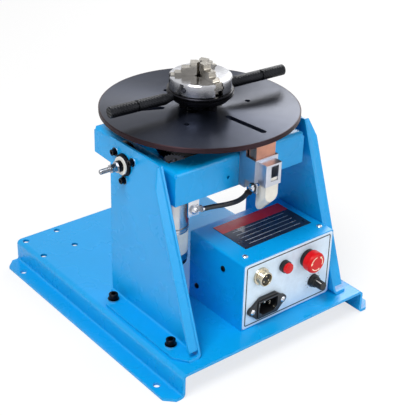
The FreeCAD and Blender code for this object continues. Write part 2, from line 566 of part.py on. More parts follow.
def pinion_axis():
    """Centre line of the motor's off-centre output shaft."""
    return polar(CENTRE_DISTANCE, MOTOR_ANGLE)


def plate_tab(y):
    """Upturned tab at the drive plate's right edge, with its folded root."""
    t, x2, x1 = PLATE_T, PLATE_EDGE_X, PLATE_EDGE_X - PLATE_ROOT
    tab = prism([V(x1, y - TAB_W / 2, PLATE_Z), V(x2, y - TAB_W / 2, PLATE_Z),
                 V(x2, y - TAB_W / 2, PLATE_Z + TAB_H), V(x2 - t, y - TAB_W / 2, PLATE_Z + TAB_H),
                 V(x2 - t, y - TAB_W / 2, PLATE_TOP_Z), V(x1, y - TAB_W / 2, PLATE_TOP_Z)], V(0, TAB_W, 0))
    tab = tab.makeFillet(PLATE_BEND_R + t, straight_edges(
        tab, Y_AXIS, lambda m: abs(m.x - x2) < 1e-3 and abs(m.z - PLATE_Z) < 1e-3))
    tab = tab.makeFillet(PLATE_BEND_R, straight_edges(
        tab, Y_AXIS, lambda m: abs(m.x - x2 + t) < 1e-3 and abs(m.z - PLATE_TOP_Z) < 1e-3))
    return tab.makeFillet(4, straight_edges(tab, X_AXIS, lambda m: m.z > PLATE_Z + TAB_H - 1))


def drive_plate():
    """Folded carrier plate with four upturned tabs."""
    t, edge = PLATE_T, PLATE_EDGE_X - PLATE_ROOT
    plate = box(-edge, edge, FRAME_FRONT_Y + FRAME_T + PLATE_EDGE_GAP,
                FRAME_REAR_Y - FRAME_T - PLATE_EDGE_GAP, PLATE_Z, PLATE_TOP_Z)
    for y in tab_centres():
        tab = plate_tab(y)
        plate = plate.fuse(tab).fuse(mirrored(tab))
    plate = plate.removeSplitter()
    for sx in (-1, 1):
        for y in tab_centres():
            start = V(sx * (PLATE_EDGE_X - t), y, PLATE_Z + TAB_SCREW_Z)
            plate = plate.cut(rod(5, start, X_AXIS * sx, t))
    plate = plate.cut(rod(HOUSING_OD, polar(0, 0, PLATE_Z), Z_AXIS, t))
    for point in spindle_housing_screws():
        plate = plate.cut(rod(4, point, Z_AXIS, t))
    plate = plate.cut(rod(13, V(pinion_axis().x, pinion_axis().y, PLATE_Z), Z_AXIS, t))
    for point in motor_screw_points():
        plate = plate.cut(rod(3 + 2 * HOLE_PLAY, point, Z_AXIS, t))
    return plate.cut(rod(5, ground_screw_point(PLATE_Z), Z_AXIS, t))


def tab_screws():
    """Low cap screws through the frame walls into the plate's tabs."""
    screws = []
    for sx in (-1, 1):
        for y in tab_centres():
            seat = V(sx * FRAME_SIDE_X, y, PLATE_Z + TAB_SCREW_Z)
            head = turned([(0, 0), (4.75, 0), (3.6, 2.2), (1.6, 2.75), (0, 2.75)], seat, X_AXIS * sx)
            head = head.cut(hexagon(3, 3, seat + X_AXIS * (sx * 1.2), X_AXIS * sx))
            screws.append(head.fuse(rod(5, seat, X_AXIS * -sx, FRAME_T + PLATE_T + 2)).removeSplitter())
    return screws


def motor_screw_points():
    """Six-hole face pattern of the gearbox, of which four are used."""
    centre = motor_axis()
    return [polar(15.5, MOTOR_ANGLE + 30 + 60 * i, PLATE_Z, (centre.x, centre.y)) for i in (0, 1, 3, 4)]


def motor_screws():
    """Countersunk-free small screws from the plate down into the gearbox."""
    return [pan_screw(3, PLATE_T + 6, V(p.x, p.y, PLATE_TOP_Z), Z_AXIS) for p in motor_screw_points()]


def gearbox():
    """Round steel reduction gearbox under the drive plate."""
    centre = motor_axis()
    r, l, ring = MOTOR_D / 2, GEARBOX_L, MOTOR_RING_L
    case = turned([(0, 0), (r - 0.6, 0), (r, 0.6), (r, l - 0.5), (r - 1.4, l), (r - 1.4, l + 0.9),
                   (r, l + 1.4),
                   (r, l + ring - 1.0), (r - 0.8, l + ring - 0.4), (r - 0.8, l + ring), (0, l + ring)],
                  V(centre.x, centre.y, PLATE_Z), Z_AXIS * -1)
    for point in motor_screw_points():
        case = case.cut(rod(3, point, Z_AXIS * -1, 7))
    shaft_top = V(pinion_axis().x, pinion_axis().y, PLATE_Z)
    return case.cut(rod(MOTOR_SHAFT_D + 2 * RUNNING_FIT, shaft_top, Z_AXIS * -1, 12))


MOTOR_CAN_Z = PLATE_Z - GEARBOX_L - MOTOR_RING_L


def motor_can():
    """Drawn steel motor body."""
    centre = motor_axis()
    r = MOTOR_CAN_D / 2
    return turned([(0, 0), (r - 0.5, 0), (r, 0.5), (r, MOTOR_CAN_L), (0, MOTOR_CAN_L)],
                  V(centre.x, centre.y, MOTOR_CAN_Z), Z_AXIS * -1)


def motor_end_cap():
    """Moulded end cap with a bearing boss and two booted terminals."""
    centre = motor_axis()
    z = MOTOR_CAN_Z - MOTOR_CAN_L
    r = MOTOR_CAN_D / 2 - 0.8
    cap = turned([(0, 0), (r, 0), (r, 5), (r - 2, 7), (6, 7), (5, 9), (0, 9)],
                 V(centre.x, centre.y, z), Z_AXIS * -1)
    for side in (-1, 1):
        foot = polar(11, MOTOR_ANGLE + 90 + side * 90, z - 7, (centre.x, centre.y))
        cap = cap.fuse(turned([(0, 0), (2.6, 0), (2.6, 5), (1.6, 8), (0, 8)], foot, Z_AXIS * -1))
    return cap.removeSplitter()


def spindle_housing_screws():
    """Four screw places in the spindle housing's flange."""
    return [polar(26.5, 45 + 90 * i, PLATE_Z) for i in range(4)]


def spindle_housing():
    """Flanged housing that carries both spindle bearings."""
    total = BEARING_TOP_Z + 1 - SPINDLE_HOUSING_Z1
    flange = PLATE_TOP_Z - SPINDLE_HOUSING_Z1
    r = HOUSING_OD / 2
    profile = [(13, 0), (r - 1, 0), (r, 1), (r, flange), (32, flange), (32, flange + 4), (31, flange + 5),
               (r, flange + 5), (r, total - 1), (r - 1, total), (13, total)]
    housing = turned(profile, polar(0, 0, SPINDLE_HOUSING_Z1), Z_AXIS)
    for z in spindle_bearing_zs():
        housing = housing.cut(rod(BEARING_OD, polar(0, 0, z), Z_AXIS, BEARING_T))
    housing = housing.cut(rod(BEARING_OD, polar(0, 0, BEARING_TOP_Z), Z_AXIS, 1))
    housing = housing.cut(rod(BEARING_OD, polar(0, 0, SPINDLE_HOUSING_Z1), Z_AXIS, 1))
    for point in spindle_housing_screws():
        housing = housing.cut(rod(4 + 2 * HOLE_PLAY, point, Z_AXIS, PLATE_T + 5))
    return housing


def spindle_bearing_zs():
    """Lower faces of the two ball bearings."""
    return SPINDLE_HOUSING_Z1 + 1, BEARING_TOP_Z - BEARING_T


def spindle_bearings():
    """Ball bearings: outer ring, inner ring, balls and shields as one unit each."""
    units = []
    bore, ring = SPINDLE_D / 2 + RUNNING_FIT, (BEARING_OD - SPINDLE_D) / 2
    for z in spindle_bearing_zs():
        inner, outer, t = bore + 0.28 * ring, BEARING_OD / 2 - 0.24 * ring, BEARING_T
        profile = [(bore, 0), (inner, 0), (inner, 0.8), (outer, 0.8), (outer, 0), (BEARING_OD / 2, 0),
                   (BEARING_OD / 2, t), (outer, t), (outer, t - 0.8), (inner, t - 0.8), (inner, t), (bore, t)]
        units.append(turned(profile, polar(0, 0, z), Z_AXIS))
    return units


def housing_flange_screws():
    """Pan screws that hold the spindle housing on the drive plate, clear of the gear above."""
    return [pan_screw(4, PLATE_T + 5, V(p.x, p.y, PLATE_TOP_Z + 5), Z_AXIS) for p in spindle_housing_screws()]


def spindle():
    """Hollow stepped spindle with the table flange on top."""
    z0, z_top = SPINDLE_HOUSING_Z1 - 4, TABLE_BOTTOM_Z
    r = SPINDLE_D / 2
    b = SPINDLE_BORE / 2
    s = lambda z: z - z0
    shoulder = BEARING_TOP_Z + RUNNING_FIT
    profile = [(b, 0), (r - 1, 0), (r, 1), (r, s(shoulder)), (10, s(shoulder)), (10, s(GEAR_Z)),
               (9, s(GEAR_Z)), (9, s(GEAR_Z + GEAR_W)), (12, s(GEAR_Z + GEAR_W)),
               (12, s(z_top - SPINDLE_FLANGE_T) - 3), (15, s(z_top - SPINDLE_FLANGE_T)),
               (SPINDLE_FLANGE_D / 2, s(z_top - SPINDLE_FLANGE_T)), (SPINDLE_FLANGE_D / 2, s(z_top)),
               (b, s(z_top))]
    shaft = turned(profile, polar(0, 0, z0), Z_AXIS)
    for point in flange_screw_points():
        shaft = shaft.cut(rod(5, V(point.x, point.y, z_top - SPINDLE_FLANGE_T), Z_AXIS, SPINDLE_FLANGE_T))
    return shaft


def spindle_collar():
    """Retaining collar under the lower bearing."""
    return tube(22, SPINDLE_D, polar(0, 0, SPINDLE_HOUSING_Z1 - 2.7), Z_AXIS, 2.5)


def spur_gear(teeth, width, bore, z, centre, phase):
    """Spur gear with straight-flanked teeth and working backlash."""
    m = GEAR_MODULE
    pitch_r, step = m * teeth / 2, 360.0 / teeth
    root_r, tip_r = pitch_r - 1.2 * m, pitch_r + 0.85 * m
    outline = []
    for i in range(teeth):
        mid = phase + i * step
        for radius, share in ((root_r, -0.31), (tip_r, -0.12), (tip_r, 0.12), (root_r, 0.31)):
            outline.append(polar(radius, mid + share * step, z, centre))
    blank = prism(outline, V(0, 0, width))
    return blank.cut(rod(bore, V(centre[0], centre[1], z), Z_AXIS, width))


def spindle_gear():
    """Large driven gear on the spindle, with lightening holes."""
    gear = spur_gear(GEAR_TEETH, GEAR_W, 18, GEAR_Z, (0, AXIS_Y), MOTOR_ANGLE)
    for i in range(6):
        gear = gear.cut(rod(15, polar(28, MOTOR_ANGLE + 30 + 60 * i, GEAR_Z), Z_AXIS, GEAR_W))
    return gear


def motor_pinion():
    """Small driving gear cut on the gearbox output shaft."""
    axis = pinion_axis()
    centre = (axis.x, axis.y)
    half_step = 180.0 / PINION_TEETH
    z = GEAR_Z - 1
    gear = spur_gear(PINION_TEETH, GEAR_W + 2, MOTOR_SHAFT_D, z, centre, MOTOR_ANGLE + 180 + half_step)
    hub = tube(12, MOTOR_SHAFT_D, V(axis.x, axis.y, PLATE_TOP_Z + 1), Z_AXIS, z - PLATE_TOP_Z - 1)
    shaft = rod(MOTOR_SHAFT_D, V(axis.x, axis.y, PLATE_Z - 12), Z_AXIS, GEAR_Z + GEAR_W + 2 - PLATE_Z + 12)
    return gear.fuse(hub).fuse(shaft).removeSplitter()


# ================================================================ turntable and chuck
def flange_screw_points():
    """Screws between the spindle flange and the table."""
    return [polar(17, JAW_ANGLE + 60 + 120 * i, TABLE_BOTTOM_Z) for i in range(3)]


def turntable():
    """Flat round work table with three radial slots and three tapped holes."""
    disc = turned([(TABLE_BORE_D / 2, 0), (TABLE_R - 0.5, 0), (TABLE_R, 0.5), (TABLE_R, TABLE_T - 0.5),
                   (TABLE_R - 0.5, TABLE_T), (TABLE_BORE_D / 2, TABLE_T)], polar(0, 0, TABLE_BOTTOM_Z),
                   Z_AXIS)
    for i in range(3):
        slot = box(SLOT_R1, SLOT_R2, -SLOT_W / 2, SLOT_W / 2, 0, TABLE_T)
        for r in (SLOT_R1, SLOT_R2):
            slot = slot.fuse(rod(SLOT_W, V(r, 0, 0), Z_AXIS, TABLE_T))
        slot.rotate(V(0, 0, 0), Z_AXIS, SLOT_ANGLE + 120 * i)
        slot.translate(V(0, AXIS_Y, TABLE_BOTTOM_Z))
        disc = disc.cut(slot)
        disc = disc.cut(rod(TABLE_HOLE_D, polar(TABLE_HOLE_R, TABLE_HOLE_ANGLE + 120 * i, TABLE_BOTTOM_Z),
                            Z_AXIS, TABLE_T))
    for point in table_stud_points():
        disc = disc.cut(rod(TABLE_STUD_D, point, Z_AXIS, TABLE_T))
    for point in flange_screw_points():
        disc = disc.cut(turned([(0, 0), (2.5 + HOLE_PLAY, 0), (2.5 + HOLE_PLAY, 2), (5.2, TABLE_T),
                                (0, TABLE_T)],
                               point, Z_AXIS))
    return disc


def table_screws():
    """Countersunk screws from the table top into the spindle flange."""
    screws = []
    for p in flange_screw_points():
        screw = turned([(0, -9), (2.5, -9), (2.5, 2.3), (4.9, TABLE_T - 0.2), (0, TABLE_T - 0.2)], p, Z_AXIS)
        screws.append(screw.cut(hexagon(3, 3, V(p.x, p.y, TABLE_TOP_Z - 2.5), Z_AXIS)))
    return screws


def table_stud_points():
    """Three studs that carry the chuck above the table."""
    return [polar(STUD_NUTS_PCD / 2, JAW_ANGLE + 10 + 120 * i, TABLE_BOTTOM_Z) for i in range(3)]


def chuck_studs():
    """Studs from the table into the chuck's back plate."""
    return [rod(TABLE_STUD_D, p, Z_AXIS, BACK_PLATE_Z1 + BACK_PLATE_T - TABLE_BOTTOM_Z)
            for p in table_stud_points()]


def chuck_stud_nuts():
    """Nuts on the studs, clamping the back plate from below and resting on the table."""
    nuts = []
    for p in table_stud_points():
        nuts.append(hex_nut(8, 4, TABLE_STUD_D, V(p.x, p.y, TABLE_TOP_Z), Z_AXIS))
        nuts.append(hex_nut(8, 3.5, TABLE_STUD_D, V(p.x, p.y, BACK_PLATE_Z1 - 3.5), Z_AXIS))
    return nuts


def chuck_pedestal():
    """Spacer with a centring spigot between the table and the chuck."""
    h = BACK_PLATE_Z1 - TABLE_TOP_Z
    profile = [(SPINDLE_BORE / 2, -TABLE_T), (TABLE_BORE_D / 2, -TABLE_T), (TABLE_BORE_D / 2, 0),
               (PEDESTAL_D / 2, 0), (PEDESTAL_D / 2, h - 1), (PEDESTAL_D / 2 - 1, h), (SPINDLE_BORE / 2, h)]
    return turned(profile, polar(0, 0, TABLE_TOP_Z), Z_AXIS)


def chuck_back_plate():
    """Cover that closes the back of the chuck and keeps the scroll ring on."""
    r = RING_D / 2 - 4
    plate = turned([(CHUCK_BORE_D / 2, 0), (r - 1, 0), (r, 1), (r, BACK_PLATE_T),
                    (CHUCK_BORE_D / 2, BACK_PLATE_T)],
                   polar(0, 0, BACK_PLATE_Z1), Z_AXIS)
    for point in table_stud_points():
        plate = plate.cut(rod(TABLE_STUD_D, V(point.x, point.y, BACK_PLATE_Z1), Z_AXIS, BACK_PLATE_T))
    return plate


def jaw_slot(angle):
    """Tool that cuts one jaw's way through the chuck body."""
    half, floor_z = JAW_W / 2 + JAW_CLEAR, CHUCK_TOP_Z - JAW_BASE_DEPTH - JAW_CLEAR
    way = box(0, CHUCK_D / 2 + 1, -half, half, floor_z, CHUCK_TOP_Z)
    keys = box(0, CHUCK_D / 2 + 1, -half - 1.5, half + 1.5, floor_z + 1.5, floor_z + 4.5)
    window = box(SCROLL_R1 - 1, CHUCK_D / 2 + 1, -half, half, CHUCK_FACE_Z, floor_z)
    tool = way.fuse(keys).fuse(window)
    tool.rotate(V(0, 0, 0), Z_AXIS, angle)
    tool.translate(V(0, AXIS_Y, 0))
    return tool


def jaw_angles():
    """Directions of the three jaws."""
    return [JAW_ANGLE + 120 * i for i in range(3)]


def chuck_body():
    """Bright chuck body with three keyed jaw ways, a rear hub and a tommy hole per sector."""
    r, hub = CHUCK_D / 2, CHUCK_HUB_D / 2
    hub_h = CHUCK_FACE_Z - BACK_PLATE_Z1 - BACK_PLATE_T
    scroll_r = SCROLL_R1 - 2.5
    profile = [(CHUCK_BORE_D / 2, 0), (scroll_r, 0), (scroll_r, hub_h), (r - 0.6, hub_h), (r, hub_h + 0.6),
               (r, hub_h + CHUCK_H - 1), (r - 1, hub_h + CHUCK_H), (CHUCK_BORE_D / 2, hub_h + CHUCK_H)]
    body = turned(profile, polar(0, 0, BACK_PLATE_Z1 + BACK_PLATE_T), Z_AXIS)
    body = body.cut(tube(CHUCK_D - 4, 2 * scroll_r, polar(0, 0, CHUCK_FACE_Z), Z_AXIS,
                         SCROLL_RISE + FACE_GAP))
    for angle in jaw_angles():
        body = body.cut(jaw_slot(angle))
        start = polar(r - 9, angle + BODY_HOLE_TURN, CHUCK_FACE_Z + CHUCK_H / 2)
        outward = polar(1, angle + BODY_HOLE_TURN) - polar(0, 0)
        body = body.cut(rod(BODY_HOLE_D, start, outward, 10))
    return body


def scroll_band(r_offset, width, z, height):
    """Flat Archimedean spiral rib."""
    steps = int(SCROLL_TURNS * 24)
    outer, inner = [], []
    for i in range(steps + 1):
        angle = 15.0 * i
        radius = SCROLL_R1 + r_offset + SCROLL_PITCH * angle / 360
        outer.append(polar(radius + width, angle, z))
        inner.append(polar(radius, angle, z))
    return prism(outer + inner[::-1], V(0, 0, height))


def scroll_ring():
    """Blackened ring with the spiral scroll on its face, a grip groove and two bar sockets."""
    r, h = RING_D / 2, RING_H
    hub = SCROLL_R1 - 2.5 + 2 * RUNNING_FIT
    profile = [(hub, 0), (r - 2, 0), (r - 0.8, 1.2), (r - 0.8, 2.2), (r, 2.6), (r, h - 3), (r - 0.9, h - 2.6),
               (r - 0.9, h - 1.9), (r, h - 1.5), (r, h - 0.7), (r - 0.7, h), (CHUCK_D / 2 - 1.5, h),
               (CHUCK_D / 2 - 1.5, h - SCROLL_DEPTH), (hub, h - SCROLL_DEPTH)]
    ring = turned(profile, polar(0, 0, RING_Z1), Z_AXIS)
    rib = scroll_band(0, SCROLL_RIB, RING_Z2 - SCROLL_DEPTH, SCROLL_DEPTH + SCROLL_RISE)
    room = tube(CHUCK_D - 3, 2 * hub, polar(0, 0, RING_Z1), Z_AXIS, RING_H + 2)
    ring = ring.fuse(rib.common(room)).removeSplitter()
    for angle in bar_angles():
        out = polar(1, angle) - polar(0, angle)
        ring = ring.cut(rod(BAR_THREAD_D, polar(r - 9, angle, BAR_Z), out, 10))
    return ring


def bar_angles():
    """Directions of the two tommy bars."""
    return BAR_ANGLE, BAR_ANGLE + 180


def tommy_bars():
    """Two turned bars with a tapered shoulder, screwed into the scroll ring."""
    r0, r = RING_D / 2, BAR_D / 2
    bars = []
    for angle in bar_angles():
        out = polar(1, angle) - polar(0, angle)
        length = BAR_TIP_R - r0
        groove = BAR_GROOVE_R - r0
        profile = [(0, -8.5), (BAR_THREAD_D / 2, -8.5), (BAR_THREAD_D / 2, 0.6), (0.62 * r, 0.6), (r, 9),
                   (r, groove), (0.82 * r, groove + 0.4), (0.82 * r, groove + 1.8), (r, groove + 2.2),
                   (r, length - 0.8), (r - 0.8, length), (0, length)]
        bars.append(turned(profile, polar(r0, angle, BAR_Z), out))
    return bars


def jaw(index):
    """Stepped jaw with gripping teeth and the scroll teeth under it, at its own scroll offset."""
    half, z0 = JAW_W / 2, CHUCK_TOP_Z - JAW_BASE_DEPTH
    r1, r2 = JAW_R1, JAW_R1 + JAW_L
    side, r = [V(r2, 0, z0), V(r1, 0, z0), V(r1, 0, CHUCK_TOP_Z + JAW_STEPS_Z[0])], r1
    faces = []
    for length, high, low in zip(JAW_STEPS_L, JAW_STEPS_Z, JAW_STEPS_Z[1:]):
        r += length
        side += [V(r, 0, CHUCK_TOP_Z + high), V(r + JAW_STEP_SLOPE, 0, CHUCK_TOP_Z + low)]
        faces.append((r, low, high))
    side.append(V(r2, 0, CHUCK_TOP_Z + JAW_STEPS_Z[-1]))
    body = prism([p - V(0, half, 0) for p in side], V(0, JAW_W, 0))
    body = body.cut(point_relief(r1))
    for r, low, high in faces:
        for k in (0.3, 0.65):
            z = CHUCK_TOP_Z + low + (high - low) * k
            body = body.cut(box(r - 0.1, r + 1.5, -half, half, z, z + 0.6))
    keys = box(r1 + 3.5, r2, -half - 1.5 + JAW_CLEAR, half + 1.5 - JAW_CLEAR, z0 + 1.6, z0 + 4.0)
    body = body.fuse(keys)
    angle = jaw_angles()[index]
    first = SCROLL_R1 + SCROLL_RIB + (SCROLL_PITCH - SCROLL_RIB) / 2
    shift = SCROLL_PITCH * ((angle % 360) / 360.0)
    tooth_floor = RING_Z2 + FACE_GAP / 2
    for turn in range(-4, 8):
        mid = first + shift + SCROLL_PITCH * turn
        if r1 + 2 < mid - 0.6 and mid + 0.6 < r2 - 2 and mid - 0.6 > SCROLL_R1 - 0.5:
            body = body.fuse(box(mid - 0.5, mid + 0.5, -half + 1.4, half - 1.4, tooth_floor, z0))
    body = body.removeSplitter()
    body.rotate(V(0, 0, 0), Z_AXIS, angle)
    body.translate(V(0, AXIS_Y, 0))
    return body


def point_relief(r1):
    """Tool that chamfers a jaw's nose to its gripping edge."""
    half, top = JAW_W / 2, CHUCK_TOP_Z + JAW_STEPS_Z[0] + 1
    z0 = CHUCK_TOP_Z - JAW_BASE_DEPTH
    tool = None
    for side in (-1, 1):
        wedge = prism([V(r1, side * 1.6, z0), V(r1, side * half, z0), V(r1 + 3, side * half, z0)],
                      V(0, 0, top - z0))
        tool = wedge if tool is None else tool.fuse(wedge)
    return tool


# ================================================================ ground brush
BRACKET_SCREW_Z = 175.0
GROUND_X, GROUND_Y = -51.2, -70.0


def bracket_screw_xs():
    """Screws of the brush bracket, one in each ear."""
    return HOLDER_X1 + BRACKET_EAR / 2 + 1, HOLDER_X2 - BRACKET_EAR / 2 - 1


def brush_bracket():
    """Folded channel with two inward ears that stands the brush holder off the frame."""
    t, z1, z2 = BRACKET_T, FRAME_BOTTOM_Z + 1, BRACKET_TOP_Z
    web_y = HOLDER_BACK_Y
    channel = box(HOLDER_X1, HOLDER_X2, web_y, FRAME_FRONT_Y, z1, z2)
    channel = channel.cut(box(HOLDER_X1 + t, HOLDER_X2 - t, web_y + t, FRAME_FRONT_Y, z1, z2))
    ears = box(HOLDER_X1, HOLDER_X2, FRAME_FRONT_Y - t, FRAME_FRONT_Y, z1 + 4, z1 + 20)
    ears = ears.cut(box(HOLDER_X1 + BRACKET_EAR, HOLDER_X2 - BRACKET_EAR,
                        FRAME_FRONT_Y - t, FRAME_FRONT_Y, z1, z2))
    bracket = channel.fuse(ears).removeSplitter()
    for x in bracket_screw_xs():
        bracket = bracket.cut(rod(4, V(x, FRAME_FRONT_Y - t, BRACKET_SCREW_Z), Y_AXIS, t))
    for x in holder_rivet_xs():
        bracket = bracket.cut(rod(3, V(x, web_y, HOLDER_BOTTOM_Z + 6), Y_AXIS, t))
    return bracket


def holder_rivet_xs():
    """Rivets between the holder and its bracket."""
    return BRUSH_X - 8, BRUSH_X + 8


def brush_holder():
    """Rectangular metal box that guides the brush, with an earth tab below."""
    outer = box(HOLDER_X1, HOLDER_X2, HOLDER_FRONT_Y, HOLDER_BACK_Y, HOLDER_BOTTOM_Z, HOLDER_TOP_Z)
    room = box(BRUSH_X - BRUSH_W / 2 - BRUSH_PLAY, BRUSH_X + BRUSH_W / 2 + BRUSH_PLAY,
               BRUSH_FRONT_Y - BRUSH_PLAY, BRUSH_FRONT_Y + BRUSH_D + BRUSH_PLAY,
               HOLDER_BOTTOM_Z + 1.5, HOLDER_TOP_Z)
    screw = earth_screw_point()
    tab = box(HOLDER_X1, HOLDER_X1 + 1.5, screw.y - 5, screw.y + 5, HOLDER_BOTTOM_Z - GROUND_TAB_DROP,
              HOLDER_BOTTOM_Z + 1)
    holder = outer.cut(room).fuse(tab).removeSplitter()
    holder = holder.cut(rod(4, screw, X_AXIS, 1.5))
    for x in holder_rivet_xs():
        holder = holder.cut(rod(3, V(x, HOLDER_BACK_Y - 1.5, HOLDER_BOTTOM_Z + 6), Y_AXIS, 1.5))
    return holder


def holder_rivets():
    """Flat rivets through holder and bracket."""
    rivets = []
    for x in holder_rivet_xs():
        start = V(x, HOLDER_BACK_Y - HOLDER_WALL_Y + 0.35, HOLDER_BOTTOM_Z + 6)
        reach = HOLDER_WALL_Y - 0.35 + BRACKET_T
        rivets.append(turned([(0, 0), (1.5, 0), (1.5, reach), (2.6, reach), (2.2, reach + 1), (0, reach + 1)],
                             start, Y_AXIS))
    return rivets


def earth_screw_point():
    """Earth screw in the holder's tab."""
    return V(HOLDER_X1, HOLDER_FRONT_Y + 1.5, HOLDER_BOTTOM_Z - 4)


def copper_brush():
    """Copper block that rubs on the underside of the table."""
    return box(BRUSH_X - BRUSH_W / 2, BRUSH_X + BRUSH_W / 2, BRUSH_FRONT_Y, BRUSH_FRONT_Y + BRUSH_D,
               BRUSH_BOTTOM_Z, TABLE_BOTTOM_Z - FACE_GAP)


def brush_springs():
    """Two small compression springs that push the brush up."""
    z0 = HOLDER_BOTTOM_Z + 1.5
    height = BRUSH_BOTTOM_Z - z0
    springs = []
    for x in (BRUSH_X - 6, BRUSH_X + 6):
        mean_r = SPRING_D / 2 - SPRING_WIRE / 2
        rise = height - SPRING_WIRE
        helix = Part.makeHelix(rise / SPRING_TURNS, rise, mean_r)
        section = Part.Wire(Part.makeCircle(SPRING_WIRE / 2, V(mean_r, 0, 0), Y_AXIS))
        coil = Part.Wire(helix.Edges).makePipeShell([section], True, True)
        coil.translate(V(x, BRUSH_Y, z0 + SPRING_WIRE / 2))
        springs.append(coil)
    return springs


def brush_clip():
    """Folded spring clip on the holder's front, with a window."""
    x1 = HOLDER_X1 + 4.6
    x2, y2 = x1 + CLIP_W, HOLDER_FRONT_Y
    y1, z2 = y2 - CLIP_DEPTH, HOLDER_TOP_Z - 2.1
    z1 = z2 - CLIP_H
    shell = box(x1, x2, y1, y2, z1, z2)
    shell = shell.makeFillet(1.2, straight_edges(shell, Z_AXIS, lambda m: abs(m.y - y1) < 1e-3))
    shell = shell.cut(box(x1 + CLIP_T, x2 - CLIP_T, y1 + CLIP_T, y2, z1, z2 - CLIP_T))
    window_x = x1 + CLIP_W / 2 + 0.9
    window = box(window_x - CLIP_WINDOW_W / 2, window_x + CLIP_WINDOW_W / 2, y1, y1 + CLIP_T,
                 z1 + 4.5, z1 + 4.5 + CLIP_WINDOW_H)
    return shell.cut(window)


def brush_finger():
    """White insulating finger with a rounded end, which slants back and down from inside the clip."""
    x1 = HOLDER_X1 + 4.6 + CLIP_T
    x2 = x1 + FINGER_W
    y1 = HOLDER_FRONT_Y - CLIP_DEPTH + CLIP_T
    r = FINGER_W / 2
    clip_bottom = HOLDER_TOP_Z - 2.1 - CLIP_H
    low, high = clip_bottom - FINGER_DROP + r, clip_bottom + 7.5
    edge = [Part.makeLine(V(x1, y1, low), V(x1, y1, high)), Part.makeLine(V(x1, y1, high), V(x2, y1, high)),
            Part.makeLine(V(x2, y1, high), V(x2, y1, low)),
            Part.Arc(V(x2, y1, low), V(x1 + r, y1, low - r), V(x1, y1, low)).toShape()]
    return Part.Face(Part.Wire(edge)).extrude(V(0, FINGER_RUN, -FINGER_FALL))


def bracket_screws():
    """Screws from inside the frame into the bracket's ears."""
    return [pan_screw(4, FRAME_T + BRACKET_T + 2, V(x, FRAME_FRONT_Y + FRAME_T, BRACKET_SCREW_Z), Y_AXIS)
            for x in bracket_screw_xs()]


GROUND_LEG_L, GROUND_LEG_W, GROUND_LEG_T = 26.0, 13.0, 2.0
LUG_T, LUG_L = 1.2, 9.5


def ground_bracket():
    """Angle below the drive plate that takes the earth cable to the table spindle's carrier."""
    x1, x2 = GROUND_X - GROUND_LEG_W / 2, GROUND_X + GROUND_LEG_W / 2
    foot = box(x1, x2, GROUND_Y - 6.5, GROUND_Y + 6.5, PLATE_Z - GROUND_LEG_T, PLATE_Z)
    leg = box(x1, x2, GROUND_Y - 6.5, GROUND_Y - 6.5 + GROUND_LEG_T, PLATE_Z - GROUND_LEG_L, PLATE_Z)
    bracket = foot.fuse(leg).removeSplitter()
    bracket = bracket.makeFillet(GROUND_LEG_T + 0.5, straight_edges(
        bracket, X_AXIS, lambda m: abs(m.y - GROUND_Y + 6.5) < 1e-3 and abs(m.z - PLATE_Z) < 1e-3))
    bracket = bracket.cut(rod(5, ground_screw_point(PLATE_Z - GROUND_LEG_T), Z_AXIS, GROUND_LEG_T))
    return bracket.cut(rod(4, lug_point(), Y_AXIS, GROUND_LEG_T))


def ground_screw_point(z):
    """Axis of the screw between the ground bracket and the drive plate."""
    return V(GROUND_X, GROUND_Y + 1, z)


def lug_point():
    """Where the cable's far terminal is screwed to the ground bracket."""
    return V(GROUND_X, GROUND_Y - 6.5, PLATE_Z - GROUND_LEG_L + 7)


def ring_lug(centre, down, out):
    """Crimp terminal: a flat ring, a neck and a barrel that takes the cable."""
    side = down.cross(out)
    ring = rod(9.5, centre, out, LUG_T)
    neck = prism([centre - side * 3.2, centre + side * 3.2, centre + side * 3.2 + down * 9,
                  centre - side * 3.2 + down * 9], out * LUG_T)
    barrel = rod(5.6, centre + down * 7.5 + out * 2.8, down, LUG_L - 7.5)
    lug = ring.fuse(neck).fuse(barrel).removeSplitter()
    return lug.cut(rod(4, centre, out, LUG_T))


def lug_frames():
    """Centre, barrel direction and outward direction of both cable terminals."""
    near_down = V(0, 0.55, -0.84).normalize()
    far_down = V(0.96, 0, -0.1).normalize()
    return (earth_screw_point(), near_down, X_AXIS * -1), (lug_point(), far_down, Y_AXIS * -1)


def ground_lugs():
    """Terminals at both ends of the earth cable."""
    return [ring_lug(*frame) for frame in lug_frames()]


def ground_lug_screws():
    """Screws through the terminals, and the screw under the ground bracket."""
    screws = [pan_screw(4, 6, centre + out * LUG_T, out) for centre, _, out in lug_frames()]
    seat = ground_screw_point(PLATE_Z - GROUND_LEG_T)
    screws.append(pan_screw(5, PLATE_T + GROUND_LEG_T + 2, seat, Z_AXIS * -1))
    return screws


def ground_cable():
    """Sleeved earth cable from the brush holder back under the frame."""
    near, near_down, near_out = lug_frames()[0]
    far, far_down, far_out = lug_frames()[1]
    start = near + near_down * LUG_L + near_out * 2.8
    end = far + far_down * LUG_L + far_out * 2.8
    return cord([start, start + near_down * 11, V(-14.5, -84.5, 144.5), end + far_down * 11, end],
                CABLE_D, "ground_cable")


# ================================================================ control box
def box_floor_points():
    """Screws that hold the control box on the base deck."""
    return [(x, y) for x in (BOX_X1 + 14, BOX_X2 - 14) for y in (BOX_FRONT_Y + 14, BOX_BACK_Y - 14)]


def box_cover_screw_frames():
    """Seats and directions of the cover screws: two on top at the front, two on each side."""
    frames = [(V(x, BOX_FRONT_Y + 12.5, BOX_Z2), Z_AXIS) for x in (BOX_X1 + 12, BOX_X2 - 8)]
    for x, out in ((BOX_X1, X_AXIS * -1),):
        frames += [(V(x, BOX_FRONT_Y + 30.5, BOX_Z1 + 58), out), (V(x, BOX_FRONT_Y + 70.5, BOX_Z1 + 17), out)]
    return frames


